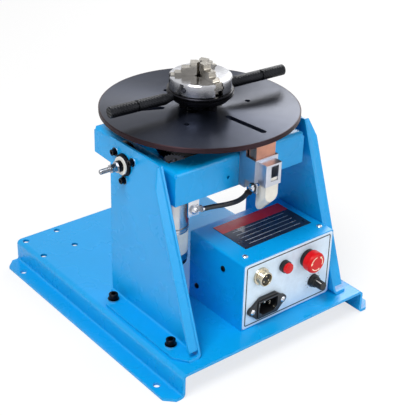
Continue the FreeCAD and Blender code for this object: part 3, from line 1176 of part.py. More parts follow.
def box_chassis():
    """Folded tray: front, floor and back of the control box, with returns for the cover screws."""
    t, g = BOX_T, BOX_T
    tray = box(BOX_X1 + g, BOX_X2 - g, BOX_FRONT_Y, BOX_BACK_Y, BOX_Z1, BOX_Z2 - g)
    tray = tray.cut(box(BOX_X1 + g, BOX_X2 - g, BOX_FRONT_Y + t, BOX_BACK_Y - t, BOX_Z1 + t, BOX_Z2 - g))
    for x in (BOX_X1 + g, BOX_X2 - g - t):
        tray = tray.fuse(box(x, x + t, BOX_FRONT_Y, BOX_FRONT_Y + 38, BOX_Z1, BOX_Z2 - g))
        tray = tray.fuse(box(x, x + t, BOX_FRONT_Y, BOX_BACK_Y, BOX_Z1, BOX_Z1 + 25))
    tray = tray.fuse(box(BOX_X1 + g, BOX_X2 - g, BOX_FRONT_Y, BOX_FRONT_Y + 20, BOX_Z2 - g - t, BOX_Z2 - g))
    tray = tray.removeSplitter()
    for seat, out in box_cover_screw_frames():
        tray = tray.cut(rod(3, seat, out * -1, g + t))
    for x, z, d in panel_holes():
        tray = tray.cut(rod(d, V(x, BOX_FRONT_Y, z), Y_AXIS, t))
    tray = tray.cut(inlet_cutout(BOX_FRONT_Y, t))
    for x, y in box_floor_points():
        tray = tray.cut(rod(4, V(x, y, BOX_Z1), Z_AXIS, t))
    return tray


def panel_holes():
    """Round holes of the controls: centre and diameter."""
    return [(SOCKET_X, SOCKET_Z, SOCKET_D - 2), (LAMP_X, LAMP_Z, LAMP_D - 3), (ESTOP_X, ESTOP_Z, 12.0),
            (KNOB_X, KNOB_Z, 7.0)]


def inlet_cutout(y, depth):
    """Cut-out for the mains inlet body and its two screws."""
    hood = box(INLET_X - INLET_HOOD_W / 2, INLET_X + INLET_HOOD_W / 2, y, y + depth,
               INLET_Z - INLET_HOOD_H / 2, INLET_Z + INLET_HOOD_H / 2)
    for side in (-1, 1):
        hood = hood.fuse(rod(3, V(INLET_X + side * INLET_PITCH / 2, y, INLET_Z), Y_AXIS, depth))
    return hood


def box_cover():
    """Folded lid: top and both sides."""
    t = BOX_T
    lid = box(BOX_X1, BOX_X2, BOX_FRONT_Y, BOX_BACK_Y, BOX_Z1, BOX_Z2)
    lid = lid.makeFillet(1.8, straight_edges(lid, Y_AXIS, lambda m: m.z > BOX_Z2 - 1))
    lid = lid.cut(box(BOX_X1 + t, BOX_X2 - t, BOX_FRONT_Y, BOX_BACK_Y, BOX_Z1, BOX_Z2 - t))
    for seat, out in box_cover_screw_frames():
        lid = lid.cut(rod(3, seat, out * -1, t))
    return lid


def box_cover_screws():
    """Pan screws of the cover."""
    return [pan_screw(3, 5, seat, out) for seat, out in box_cover_screw_frames()]


def box_floor_screws():
    """Screws from below the deck into the box floor."""
    return [pan_screw(4, BASE_T + BOX_T + 2, V(x, y, BASE_H - BASE_T), Z_AXIS * -1)
            for x, y in box_floor_points()]


def panel_overlay():
    """Thin printed film over the whole front panel."""
    x1, x2 = BOX_X1 + PANEL_INSET, BOX_X2 - PANEL_INSET
    film = box(x1, x2, PANEL_FACE_Y, BOX_FRONT_Y, BOX_Z1 + PANEL_INSET, BOX_Z2 - PANEL_INSET)
    film = film.makeFillet(2.5, straight_edges(film, Y_AXIS, lambda m: True))
    for x, z, d in panel_holes():
        film = film.cut(rod(d, V(x, PANEL_FACE_Y, z), Y_AXIS, OVERLAY_T))
    return film.cut(inlet_cutout(PANEL_FACE_Y, OVERLAY_T))


def nameplate():
    """Blank two-tone plate on top of the cover."""
    plate = box(NAMEPLATE_X - NAMEPLATE_W / 2, NAMEPLATE_X + NAMEPLATE_W / 2, NAMEPLATE_Y - NAMEPLATE_D / 2,
                NAMEPLATE_Y + NAMEPLATE_D / 2, BOX_Z2, BOX_Z2 + NAMEPLATE_T)
    return plate


def foot_switch_socket():
    """Round metal connector with a threaded nose."""
    start = V(SOCKET_X, PANEL_FACE_Y, SOCKET_Z)
    r = SOCKET_D / 2
    shell = turned([(6.4, 2), (6.4, SOCKET_L), (r - 0.9, SOCKET_L), (r - 0.4, SOCKET_L - 0.7), (r - 0.4, 2.4),
                    (r + 1.2, 2.0), (r + 1.2, 0), (0, 0), (0, 2)], start, Y_AXIS * -1)
    tail = rod(SOCKET_D - 2.4, V(SOCKET_X, BOX_FRONT_Y + BOX_T + 10, SOCKET_Z), Y_AXIS * -1,
               10 + BOX_T + OVERLAY_T)
    return shell.fuse(tail).removeSplitter()


def socket_insert():
    """Dark insulating insert with its three contact pins."""
    insert = rod(12.6, V(SOCKET_X, PANEL_FACE_Y - 2, SOCKET_Z), Y_AXIS * -1, 4.2)
    for i in range(3):
        a = math.radians(90 + 120 * i)
        base = V(SOCKET_X + 3.4 * math.cos(a), PANEL_FACE_Y - 6.2, SOCKET_Z + 3.4 * math.sin(a))
        insert = insert.fuse(turned([(0, 0), (0.8, 0), (0.8, 2), (0.4, 2.5), (0, 2.5)], base, Y_AXIS * -1))
    return insert.removeSplitter()


def mains_inlet():
    """Screw-on mains inlet: lobed flange, raised hood, recess with a shaped mouth."""
    y = PANEL_FACE_Y
    half_w, half_h = INLET_FLANGE_W / 2, INLET_FLANGE_H / 2
    outline = [(-half_w + 3.0, 3.5), (-10.5, half_h), (10.5, half_h), (half_w - 3.0, 3.5),
               (half_w - 3.0, -3.5),
               (13.5, -half_h), (-13.5, -half_h), (-half_w + 3.0, -3.5)]
    flange = prism([V(INLET_X + x, y - INLET_FLANGE_T, INLET_Z + z) for x, z in outline],
                   V(0, INLET_FLANGE_T, 0))
    for side in (-1, 1):
        flange = flange.fuse(rod(9.2, V(INLET_X + side * (half_w - 4.6), y - INLET_FLANGE_T, INLET_Z), Y_AXIS,
                                 INLET_FLANGE_T))
    flange = flange.removeSplitter()
    body = box(INLET_X - INLET_HOOD_W / 2 + 0.3, INLET_X + INLET_HOOD_W / 2 - 0.3, y - INLET_FLANGE_T - 1.2,
               y + INLET_DEPTH + 1.5, INLET_Z - INLET_HOOD_H / 2 + 0.3, INLET_Z + INLET_HOOD_H / 2 - 0.3)
    inlet = flange.fuse(body).removeSplitter()
    mouth = [(-12.0, -7.7), (12.0, -7.7), (12.0, 3.0), (7.5, 7.7), (-7.5, 7.7), (-12.0, 3.0)]
    recess = prism([V(INLET_X + x, y - INLET_FLANGE_T - 1.2, INLET_Z - z) for x, z in mouth],
                   V(0, INLET_DEPTH + INLET_FLANGE_T, 0))
    inlet = inlet.cut(recess)
    for side in (-1, 1):
        seat = V(INLET_X + side * INLET_PITCH / 2, y - INLET_FLANGE_T, INLET_Z)
        inlet = inlet.cut(rod(3, seat, Y_AXIS, INLET_FLANGE_T))
    return inlet


def inlet_pins():
    """Three flat blades inside the inlet."""
    pins = []
    y0 = PANEL_FACE_Y + INLET_DEPTH - 1.2
    for x, z in ((-7.0, 1.0), (0.0, -3.0), (7.0, 1.0)):
        pins.append(box(INLET_X + x - 1.0, INLET_X + x + 1.0, y0 - 11, y0,
                        INLET_Z - z - 2.2, INLET_Z - z + 2.2))
    return pins


def inlet_screws():
    """Two screws in the inlet's ears."""
    return [pan_screw(3, 9, V(INLET_X + side * INLET_PITCH / 2, PANEL_FACE_Y - INLET_FLANGE_T, INLET_Z),
                      Y_AXIS * -1) for side in (-1, 1)]


def lamp_bezel():
    """Black barrel of the power lamp, with its tail behind the panel."""
    start = V(LAMP_X, PANEL_FACE_Y, LAMP_Z)
    r = LAMP_D / 2
    bezel = turned([(0, 0), (r, 0), (r, LAMP_L - 4), (r - 0.7, LAMP_L - 3.2), (0, LAMP_L - 3.2)],
                   start, Y_AXIS * -1)
    tail = rod(LAMP_D - 3.4, V(LAMP_X, BOX_FRONT_Y + 22, LAMP_Z), Y_AXIS * -1, 22 + OVERLAY_T)
    return bezel.fuse(tail).removeSplitter()


def lamp_lens():
    """Red lens of the power lamp."""
    start = V(LAMP_X, PANEL_FACE_Y - LAMP_L + 3.2, LAMP_Z)
    r = LAMP_D / 2 - 0.9
    return turned([(0, 0), (r, 0), (r, 2.4), (r - 0.5, 3.0), (r * 0.6, 3.4), (0, 3.6)], start, Y_AXIS * -1)


def estop_collar():
    """Fixed collar of the emergency stop and the contact block behind the panel."""
    start = V(ESTOP_X, PANEL_FACE_Y, ESTOP_Z)
    r = ESTOP_COLLAR_D / 2
    collar = turned([(6.2, 0), (r, 0), (r, ESTOP_COLLAR_L - 0.8), (r - 0.8, ESTOP_COLLAR_L),
                     (ESTOP_SKIRT_D / 2 + 0.4, ESTOP_COLLAR_L), (ESTOP_SKIRT_D / 2 + 0.4, 0.8), (6.2, 0.8)],
                    start, Y_AXIS * -1)
    y0 = BOX_FRONT_Y + BOX_T
    block = box(ESTOP_X - 11, ESTOP_X + 11, y0, y0 + 24, ESTOP_Z - 11, ESTOP_Z + 11)
    sleeve = tube(11.8, 9.0, V(ESTOP_X, PANEL_FACE_Y, ESTOP_Z), Y_AXIS, OVERLAY_T + BOX_T + 1)
    neck = tube(14, 9.0, start, Y_AXIS * -1, 0.8)
    body = collar.fuse(neck).fuse(sleeve).fuse(block).removeSplitter()
    return body.cut(rod(9.0, start - Y_AXIS, Y_AXIS, 23))


def estop_button():
    """Red mushroom button: its head closes over the collar when it is pressed."""
    start = V(ESTOP_X, PANEL_FACE_Y - ESTOP_L, ESTOP_Z)
    r, skirt, recess = ESTOP_HEAD_D / 2, ESTOP_SKIRT_D / 2, ESTOP_COLLAR_D / 2 + 0.4
    recess_floor = ESTOP_HEAD_L - 2.4
    skirt_end = ESTOP_L - 0.8 - ESTOP_TRAVEL - 0.5
    profile = [(0, 0), (r - 2.2, 0), (r - 0.8, 0.7), (r, 2.2), (r, ESTOP_HEAD_L), (recess, ESTOP_HEAD_L),
               (recess, recess_floor), (skirt, recess_floor), (skirt, skirt_end), (4.0, skirt_end),
               (4.0, ESTOP_L + 12), (0, ESTOP_L + 12)]
    return turned(profile, start, Y_AXIS)


def speed_knob():
    """Pointer knob with a flared skirt and a narrow nose, on its shaft."""
    start = V(KNOB_X, PANEL_FACE_Y - 1.0, KNOB_Z)
    r = KNOB_D / 2
    knob = turned([(3, 0), (r, 0), (r, 1.8), (r - 0.6, 2.4), (r - 1.2, 5.2), (0.68 * r, 6.0),
                   (0.64 * r, KNOB_L - 0.8), (0.58 * r, KNOB_L), (0, KNOB_L), (0, 8), (3, 8)],
                  start, Y_AXIS * -1)
    ribs = 12
    for i in range(ribs):
        a = math.radians(360.0 / ribs * (i + 0.5))
        groove = rod(1.1, V(KNOB_X + 0.69 * r * math.cos(a), PANEL_FACE_Y - 7.6,
                            KNOB_Z + 0.69 * r * math.sin(a)),
                     Y_AXIS * -1, KNOB_L)
        knob = knob.cut(groove)
    shaft = rod(6, V(KNOB_X, BOX_FRONT_Y + BOX_T + 4.5, KNOB_Z), Y_AXIS * -1, BOX_T + 4.5 + OVERLAY_T + 9.0)
    return knob.fuse(shaft).removeSplitter()


def speed_control():
    """Speed control behind the panel and its bright nut in front."""
    y0 = BOX_FRONT_Y + BOX_T
    case = rod(16, V(KNOB_X, y0, KNOB_Z), Y_AXIS, 9)
    ring = tube(KNOB_D + 1.6, 6.6, V(KNOB_X, PANEL_FACE_Y, KNOB_Z), Y_AXIS * -1, 0.7)
    bushing = tube(6.9, 6.2, V(KNOB_X, PANEL_FACE_Y - 0.7, KNOB_Z), Y_AXIS, OVERLAY_T + BOX_T + 1.7)
    body = case.fuse(ring).fuse(bushing).removeSplitter()
    return body.cut(rod(6.2, V(KNOB_X, PANEL_FACE_Y - 1, KNOB_Z), Y_AXIS, OVERLAY_T + BOX_T + 6))


def power_supply():
    """Enclosed supply on the box floor, on its own feet."""
    z0 = BOX_Z1 + BOX_T
    x1, y1 = BOX_X1 + 40, BOX_FRONT_Y + 32
    case = box(x1, x1 + 66, y1, y1 + 42, z0 + 3, z0 + 27)
    case = case.makeFillet(1.5, straight_edges(case, Z_AXIS, lambda m: True))
    for x in (x1 + 6, x1 + 60):
        for y in (y1 + 6, y1 + 36):
            case = case.fuse(rod(6, V(x, y, z0), Z_AXIS, 3))
    return case.removeSplitter()


def control_board():
    """Motor speed controller board on standoffs above the supply's side."""
    z0 = BOX_Z1 + BOX_T
    x1, y1 = BOX_X1 + 5, BOX_FRONT_Y + 32
    board = box(x1, x1 + 30, y1, y1 + 44, z0 + 6, z0 + 7.6)
    for x in (x1 + 4, x1 + 26):
        for y in (y1 + 4, y1 + 40):
            board = board.fuse(rod(5, V(x, y, z0), Z_AXIS, 6))
    board = board.fuse(box(x1 + 8, x1 + 22, y1 + 6, y1 + 22, z0 + 7.6, z0 + 20))
    board = board.fuse(rod(10, V(x1 + 15, y1 + 32, z0 + 7.6), Z_AXIS, 13))
    return board.removeSplitter()


def group(solids):
    """Several separate solids as one shape."""
    return Part.makeCompound(solids)


def base_nodes():
    """Base plate, uprights and the pivots' fixed parts."""
    upright, housing, bush = right_upright(), right_pivot_housing(), right_pivot_bush()
    return {
        "base_plate": base_plate(),
        "left_upright": mirrored(upright),
        "right_upright": upright,
        "upright_foot_fasteners": group(foot_fasteners()),
        "pivot_housings": group([mirrored(housing), housing]),
        "pivot_bushes": group([mirrored(bush), bush]),
        "pivot_housing_fasteners": group(housing_fasteners()),
    }


def tilting_nodes():
    """Frame, trunnions and the drive that hangs in the frame."""
    plate_screws = tab_screws() + motor_screws() + housing_flange_screws()
    return {
        "trunnions": group([left_trunnion(), right_trunnion()]),
        "trunnion_washers": group(trunnion_spacers() + trunnion_insulators()),
        "trunnion_nuts": group([trunnion_locknut()] + earth_stud_nuts()),
        "tilt_lock_lever": tilt_lock_lever(),
        "tilt_frame": tilt_frame(),
        "drive_plate": drive_plate(),
        "drive_plate_screws": group(plate_screws),
        "gearbox": gearbox(),
        "motor_can": motor_can(),
        "motor_end_cap": motor_end_cap(),
        "motor_pinion": motor_pinion(),
        "spindle_housing": spindle_housing(),
        "spindle_bearings": group(spindle_bearings()),
    }


def turning_nodes():
    """Spindle, turntable and the chuck that stands on it."""
    nodes = {
        "spindle": spindle(),
        "spindle_collar": spindle_collar(),
        "spindle_gear": spindle_gear(),
        "turntable": turntable(),
        "turntable_screws": group(table_screws()),
        "chuck_pedestal": chuck_pedestal(),
        "chuck_studs_and_nuts": group(chuck_studs() + chuck_stud_nuts()),
        "chuck_back_plate": chuck_back_plate(),
        "chuck_body": chuck_body(),
        "scroll_ring": scroll_ring(),
        "tommy_bars": group(tommy_bars()),
    }
    nodes.update({"chuck_jaw_%d" % (i + 1): jaw(i) for i in range(3)})
    return nodes


def brush_nodes():
    """Earth brush on the frame's front and its cable."""
    return {
        "brush_bracket": brush_bracket(),
        "brush_holder": brush_holder(),
        "copper_brush": copper_brush(),
        "brush_springs": group(brush_springs()),
        "brush_clip": brush_clip(),
        "brush_finger": brush_finger(),
        "ground_bracket": ground_bracket(),
        "ground_lugs": group(ground_lugs()),
        "ground_cable": ground_cable(),
        "brush_screws": group(ground_lug_screws() + bracket_screws() + holder_rivets()),
    }


def box_nodes():
    """Control box with its panel parts and what it holds."""
    return {
        "box_chassis": box_chassis(),
        "box_cover": box_cover(),
        "box_screws": group(box_cover_screws() + box_floor_screws() + inlet_screws()),
        "panel_overlay": panel_overlay(),
        "nameplate": nameplate(),
        "foot_switch_socket": foot_switch_socket(),
        "socket_insert": socket_insert(),
        "mains_inlet": group([mains_inlet()] + inlet_pins()),
        "lamp_bezel": lamp_bezel(),
        "lamp_lens": lamp_lens(),
        "estop_collar": estop_collar(),
        "estop_button": estop_button(),
        "speed_knob": speed_knob(),
        "speed_control": speed_control(),
        "power_supply": power_supply(),
        "control_board": control_board(),
    }


def main():
    """Write one file for each node."""
    os.makedirs("parts", exist_ok=True)
    nodes = base_nodes()
    for more in (tilting_nodes(), turning_nodes(), brush_nodes(), box_nodes()):
        nodes.update(more)
    for name, shape in nodes.items():
        shape.exportStep(os.path.join("parts", name + ".step"))
    print(len(nodes), "nodes written")


main()
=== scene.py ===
"""Looks of a small bench welding positioner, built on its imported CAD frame."""
import logging
import math
from dataclasses import dataclass, field
from enum import Enum

import bmesh
import bpy
from mathutils import Matrix, Vector


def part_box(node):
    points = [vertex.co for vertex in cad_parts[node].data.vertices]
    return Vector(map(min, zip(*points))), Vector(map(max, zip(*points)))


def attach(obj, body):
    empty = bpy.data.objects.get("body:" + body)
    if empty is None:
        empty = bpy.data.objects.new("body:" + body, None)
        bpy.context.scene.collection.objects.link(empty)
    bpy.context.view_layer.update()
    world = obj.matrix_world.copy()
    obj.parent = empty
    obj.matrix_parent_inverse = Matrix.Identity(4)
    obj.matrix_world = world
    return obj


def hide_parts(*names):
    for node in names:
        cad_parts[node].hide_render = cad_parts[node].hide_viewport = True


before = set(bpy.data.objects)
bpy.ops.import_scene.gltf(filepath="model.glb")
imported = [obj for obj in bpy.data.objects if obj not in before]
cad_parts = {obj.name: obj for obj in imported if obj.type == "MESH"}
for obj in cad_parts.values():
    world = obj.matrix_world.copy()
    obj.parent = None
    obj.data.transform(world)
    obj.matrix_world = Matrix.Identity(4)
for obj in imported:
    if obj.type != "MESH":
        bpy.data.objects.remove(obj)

LOG = logging.getLogger("positioner")
MM = 0.001
# Farther out than the machine reaches, for regions that are open on a side.
FAR_MM = 1000.0
# A point on the upright axis that the table, chuck and spindle turn about.
TABLE_AXIS = (0.0, -0.019, 0.0)
MERGE_DISTANCE = 0.001 * MM
# Most of a noise texture's values lie between these two.
NOISE_LOW, NOISE_HIGH = 0.3, 0.7
# Bands that a wave texture of scale one has in a length of 2 pi.
WAVE_BANDS = 20
# Numbers of a Mix node's sockets, whose names repeat.
MIX_FACTOR, MIX_LOW, MIX_HIGH, MIX_VALUE = 0, 2, 3, 0
MIX_COLOUR_LOW, MIX_COLOUR_HIGH, MIX_COLOUR = 6, 7, 2
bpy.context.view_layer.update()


class Lay(Enum):
    """Direction of the fine marks that a tool leaves on a surface."""

    TURNED = "rings about an upright axis"
    BRUSHED_X = "straight lines along X"
    BRUSHED_Z = "straight lines along Z"
    THREAD_X = "screw thread along X"
    THREAD_Y = "screw thread along Y"
    KNURLED = "crossed diamond grooves"
    CAST = "fine even grain"


def linear(hex_colour: str) -> tuple[float, float, float, float]:
    """Turns an sRGB colour into the linear one that shaders take.

    Args:
        hex_colour: Six hex digits with a leading hash.

    Returns:
        Linear red, green, blue and an alpha of one.
    """
    parts = [int(hex_colour[i:i + 2], 16) / 255 for i in (1, 3, 5)]
    return (*[c / 12.92 if c <= 0.04045 else ((c + 0.055) / 1.055) ** 2.4 for c in parts], 1.0)


def add_node(tree: bpy.types.NodeTree, kind: str, inputs: dict | None = None,
             links: dict | None = None, **settings: object) -> bpy.types.Node:
    """Adds one shader node with its settings, input values and incoming links.

    Args:
        tree: The material's node tree.
        kind: The node type's full name.
        inputs: Input name or number to value.
        links: Input name or number to the socket that feeds it.
        **settings: Attributes of the node.

    Returns:
        The new node.
    """
    node = tree.nodes.new(kind)
    for name, value in settings.items():
        setattr(node, name, value)
    for name, value in (inputs or {}).items():
        node.inputs[name].default_value = value
    for name, socket in (links or {}).items():
        tree.links.new(socket, node.inputs[name])
    return node


def wave_scale(pitch_mm: float) -> float:
    """Scale of a wave texture whose bands repeat at a pitch in millimetres."""
    return 2 * math.pi / (WAVE_BANDS * pitch_mm * MM)


def new_surface(name: str) -> tuple[bpy.types.Material, bpy.types.NodeTree, bpy.types.Node, bpy.types.Node]:
    """Starts a material.

    Args:
        name: The material's name.

    Returns:
        The material, its tree, its shader and its texture coordinates.
    """
    material = bpy.data.materials.new(name)
    material.use_nodes = True
    tree = material.node_tree
    shader = tree.nodes["Principled BSDF"]
    coords = add_node(tree, "ShaderNodeTexCoord")
    return material, tree, shader, coords


def mottle(tree: bpy.types.NodeTree, coords: bpy.types.Node, hex_colour: str, size_mm: float,
           depth: float) -> bpy.types.NodeSocket:
    """Colour that drifts a little lighter and darker over a surface.

    Args:
        tree: The material's node tree.
        coords: The texture coordinate node.
        hex_colour: The middle colour.
        size_mm: Size of a patch.
        depth: How far the colour drifts, as a share.

    Returns:
        The colour socket.
    """
    noise = add_node(tree, "ShaderNodeTexNoise",
                     {"Scale": 1 / (size_mm * MM), "Detail": 4.0, "Roughness": 0.6},
                     {"Vector": coords.outputs["Object"]})
    base = linear(hex_colour)
    ramp = add_node(tree, "ShaderNodeValToRGB", links={"Fac": noise.outputs["Fac"]})
    darker, lighter = ramp.color_ramp.elements
    darker.position, lighter.position = NOISE_LOW, NOISE_HIGH
    darker.color = (*[c * (1 - depth) for c in base[:3]], 1)
    lighter.color = (*[min(1.0, c * (1 + depth)) for c in base[:3]], 1)
    return ramp.outputs["Color"]


def gloss_drift(tree: bpy.types.NodeTree, coords: bpy.types.Node, middle: float, swing: float,
                size_mm: float) -> bpy.types.NodeSocket:
    """Roughness that varies in soft patches, as handling and wiping leave it.

    Args:
        tree: The material's node tree.
        coords: The texture coordinate node.
        middle: Middle roughness.
        swing: Largest departure from it.
        size_mm: Size of a patch.

    Returns:
        The roughness socket.
    """
    noise = add_node(tree, "ShaderNodeTexNoise", {"Scale": 1 / (size_mm * MM), "Detail": 3.0},
                     {"Vector": coords.outputs["Object"]})
    span = add_node(tree, "ShaderNodeMapRange",
                    {"From Min": NOISE_LOW, "From Max": NOISE_HIGH,
                     "To Min": middle - swing, "To Max": middle + swing},
                    {"Value": noise.outputs["Fac"]})
    return span.outputs["Result"]


def colour_and_gloss(tree: bpy.types.NodeTree, coords: bpy.types.Node, shader: bpy.types.Node,
                     finish: "PowderCoat | BareMetal | MouldedPlastic") -> None:
    """Gives a shader the slightly uneven colour and roughness of a finish.

    Args:
        tree: The material's node tree.
        coords: The texture coordinate node.
        shader: The Principled shader.
        finish: The finish whose colour, roughness and patch sizes are used.
    """
    tree.links.new(mottle(tree, coords, finish.colour, finish.shade_mm, finish.shade_depth),
                   shader.inputs["Base Color"])
    tree.links.new(gloss_drift(tree, coords, finish.roughness, finish.gloss_swing, finish.wipe_mm),
                   shader.inputs["Roughness"])


@dataclass(frozen=True)
class Region:
    """Part of a node with a finish of its own.

    It is what lies in a box, or beyond a radius from the table's axis where rim_mm is given.
    """

    colour: str
    roughness: float
    low_mm: tuple[float, float, float] = (-FAR_MM, -FAR_MM, -FAR_MM)
    high_mm: tuple[float, float, float] = (FAR_MM, FAR_MM, FAR_MM)
    rim_mm: float = 0.0
    metallic: float = 1.0
    shade_mm: float = 9.0
    shade_depth: float = 0.12

    def _mask(self, tree: bpy.types.NodeTree, coords: bpy.types.Node) -> bpy.types.NodeSocket:
        """One where this finish shows and zero elsewhere.

        Args:
            tree: The material's node tree.
            coords: The texture coordinate node.

        Returns:
            The mask socket.
        """
        if self.rim_mm:
            flat = add_node(tree, "ShaderNodeVectorMath",
                            {1: (1.0, 1.0, 0.0), 2: (0.0, -TABLE_AXIS[1], 0.0)},
                            {0: coords.outputs["Object"]}, operation="MULTIPLY_ADD")
            reach = add_node(tree, "ShaderNodeVectorMath", links={0: flat.outputs["Vector"]},
                             operation="LENGTH")
            return add_node(tree, "ShaderNodeMath", {1: self.rim_mm * MM}, {0: reach.outputs["Value"]},
                            operation="GREATER_THAN").outputs[0]
        # Along each axis, how far out a point is as a share of the box's half size. Under one is inside.
        centre = [(a + b) / 2 * MM for a, b in zip(self.low_mm, self.high_mm)]
        share = [2 / ((b - a) * MM) for a, b in zip(self.low_mm, self.high_mm)]
        offset = add_node(tree, "ShaderNodeVectorMath", {1: centre}, {0: coords.outputs["Object"]},
                          operation="SUBTRACT")
        scaled = add_node(tree, "ShaderNodeVectorMath", {1: share}, {0: offset.outputs["Vector"]},
                          operation="MULTIPLY")
        away = add_node(tree, "ShaderNodeVectorMath", links={0: scaled.outputs["Vector"]},
                        operation="ABSOLUTE")
        split = add_node(tree, "ShaderNodeSeparateXYZ", links={0: away.outputs["Vector"]})
        most = add_node(tree, "ShaderNodeMath", links={0: split.outputs[0], 1: split.outputs[1]},
                        operation="MAXIMUM")
        most = add_node(tree, "ShaderNodeMath", links={0: most.outputs[0], 1: split.outputs[2]},
                        operation="MAXIMUM")
        return add_node(tree, "ShaderNodeMath", {1: 1.0}, {0: most.outputs[0]},
                        operation="LESS_THAN").outputs[0]

    def apply(self, tree: bpy.types.NodeTree, coords: bpy.types.Node, shader: bpy.types.Node) -> None:
        """Mixes this finish over what the shader has so far.

        Args:
            tree: The material's node tree.
            coords: The texture coordinate node.
            shader: The Principled shader.
        """
        mask = self._mask(tree, coords)
        colours = add_node(tree, "ShaderNodeMix", data_type="RGBA")
        for place, socket in ((MIX_FACTOR, mask),
                              (MIX_COLOUR_LOW, shader.inputs["Base Color"].links[0].from_socket),
                              (MIX_COLOUR_HIGH,
                               mottle(tree, coords, self.colour, self.shade_mm, self.shade_depth))):
            tree.links.new(socket, colours.inputs[place])
        tree.links.new(colours.outputs[MIX_COLOUR], shader.inputs["Base Color"])
        gloss = add_node(tree, "ShaderNodeMix", {MIX_HIGH: self.roughness},
                         {MIX_FACTOR: mask, MIX_LOW: shader.inputs["Roughness"].links[0].from_socket})
        tree.links.new(gloss.outputs[MIX_VALUE], shader.inputs["Roughness"])
        base = shader.inputs["Metallic"].default_value
        if self.metallic != base:
            part = add_node(tree, "ShaderNodeMix", {MIX_LOW: base, MIX_HIGH: self.metallic},
                            {MIX_FACTOR: mask})
            tree.links.new(part.outputs[MIX_VALUE], shader.inputs["Metallic"])


@dataclass(frozen=True)
class PowderCoat:
    """Polyester powder coat on sheet steel: smooth, satin, with a faint orange peel and soft folded edges."""

    name: str
    colour: str
    roughness: float = 0.27
    peel_mm: float = 1.6
    peel_height_mm: float = 0.05
    peel: float = 0.12
    edge_mm: float = 0.7
    shade_mm: float = 60.0
    shade_depth: float = 0.025
    wipe_mm: float = 40.0
    gloss_swing: float = 0.03
    shine: float = 0.35

    def build(self) -> bpy.types.Material:
        """Builds the powder coat.

        Returns:
            The finished material.
        """
        material, tree, shader, coords = new_surface(self.name)
        colour_and_gloss(tree, coords, shader, self)
        peel = add_node(tree, "ShaderNodeTexNoise", {"Scale": 1 / (self.peel_mm * MM), "Detail": 1.0},
                        {"Vector": coords.outputs["Object"]})
        edge = add_node(tree, "ShaderNodeBevel", {"Radius": self.edge_mm * MM}, samples=4)
        bump = add_node(tree, "ShaderNodeBump", {"Strength": self.peel, "Distance": self.peel_height_mm * MM},
                        {"Height": peel.outputs["Fac"], "Normal": edge.outputs["Normal"]})
        tree.links.new(bump.outputs["Normal"], shader.inputs["Normal"])
        shader.inputs["Specular IOR Level"].default_value = self.shine
        return material


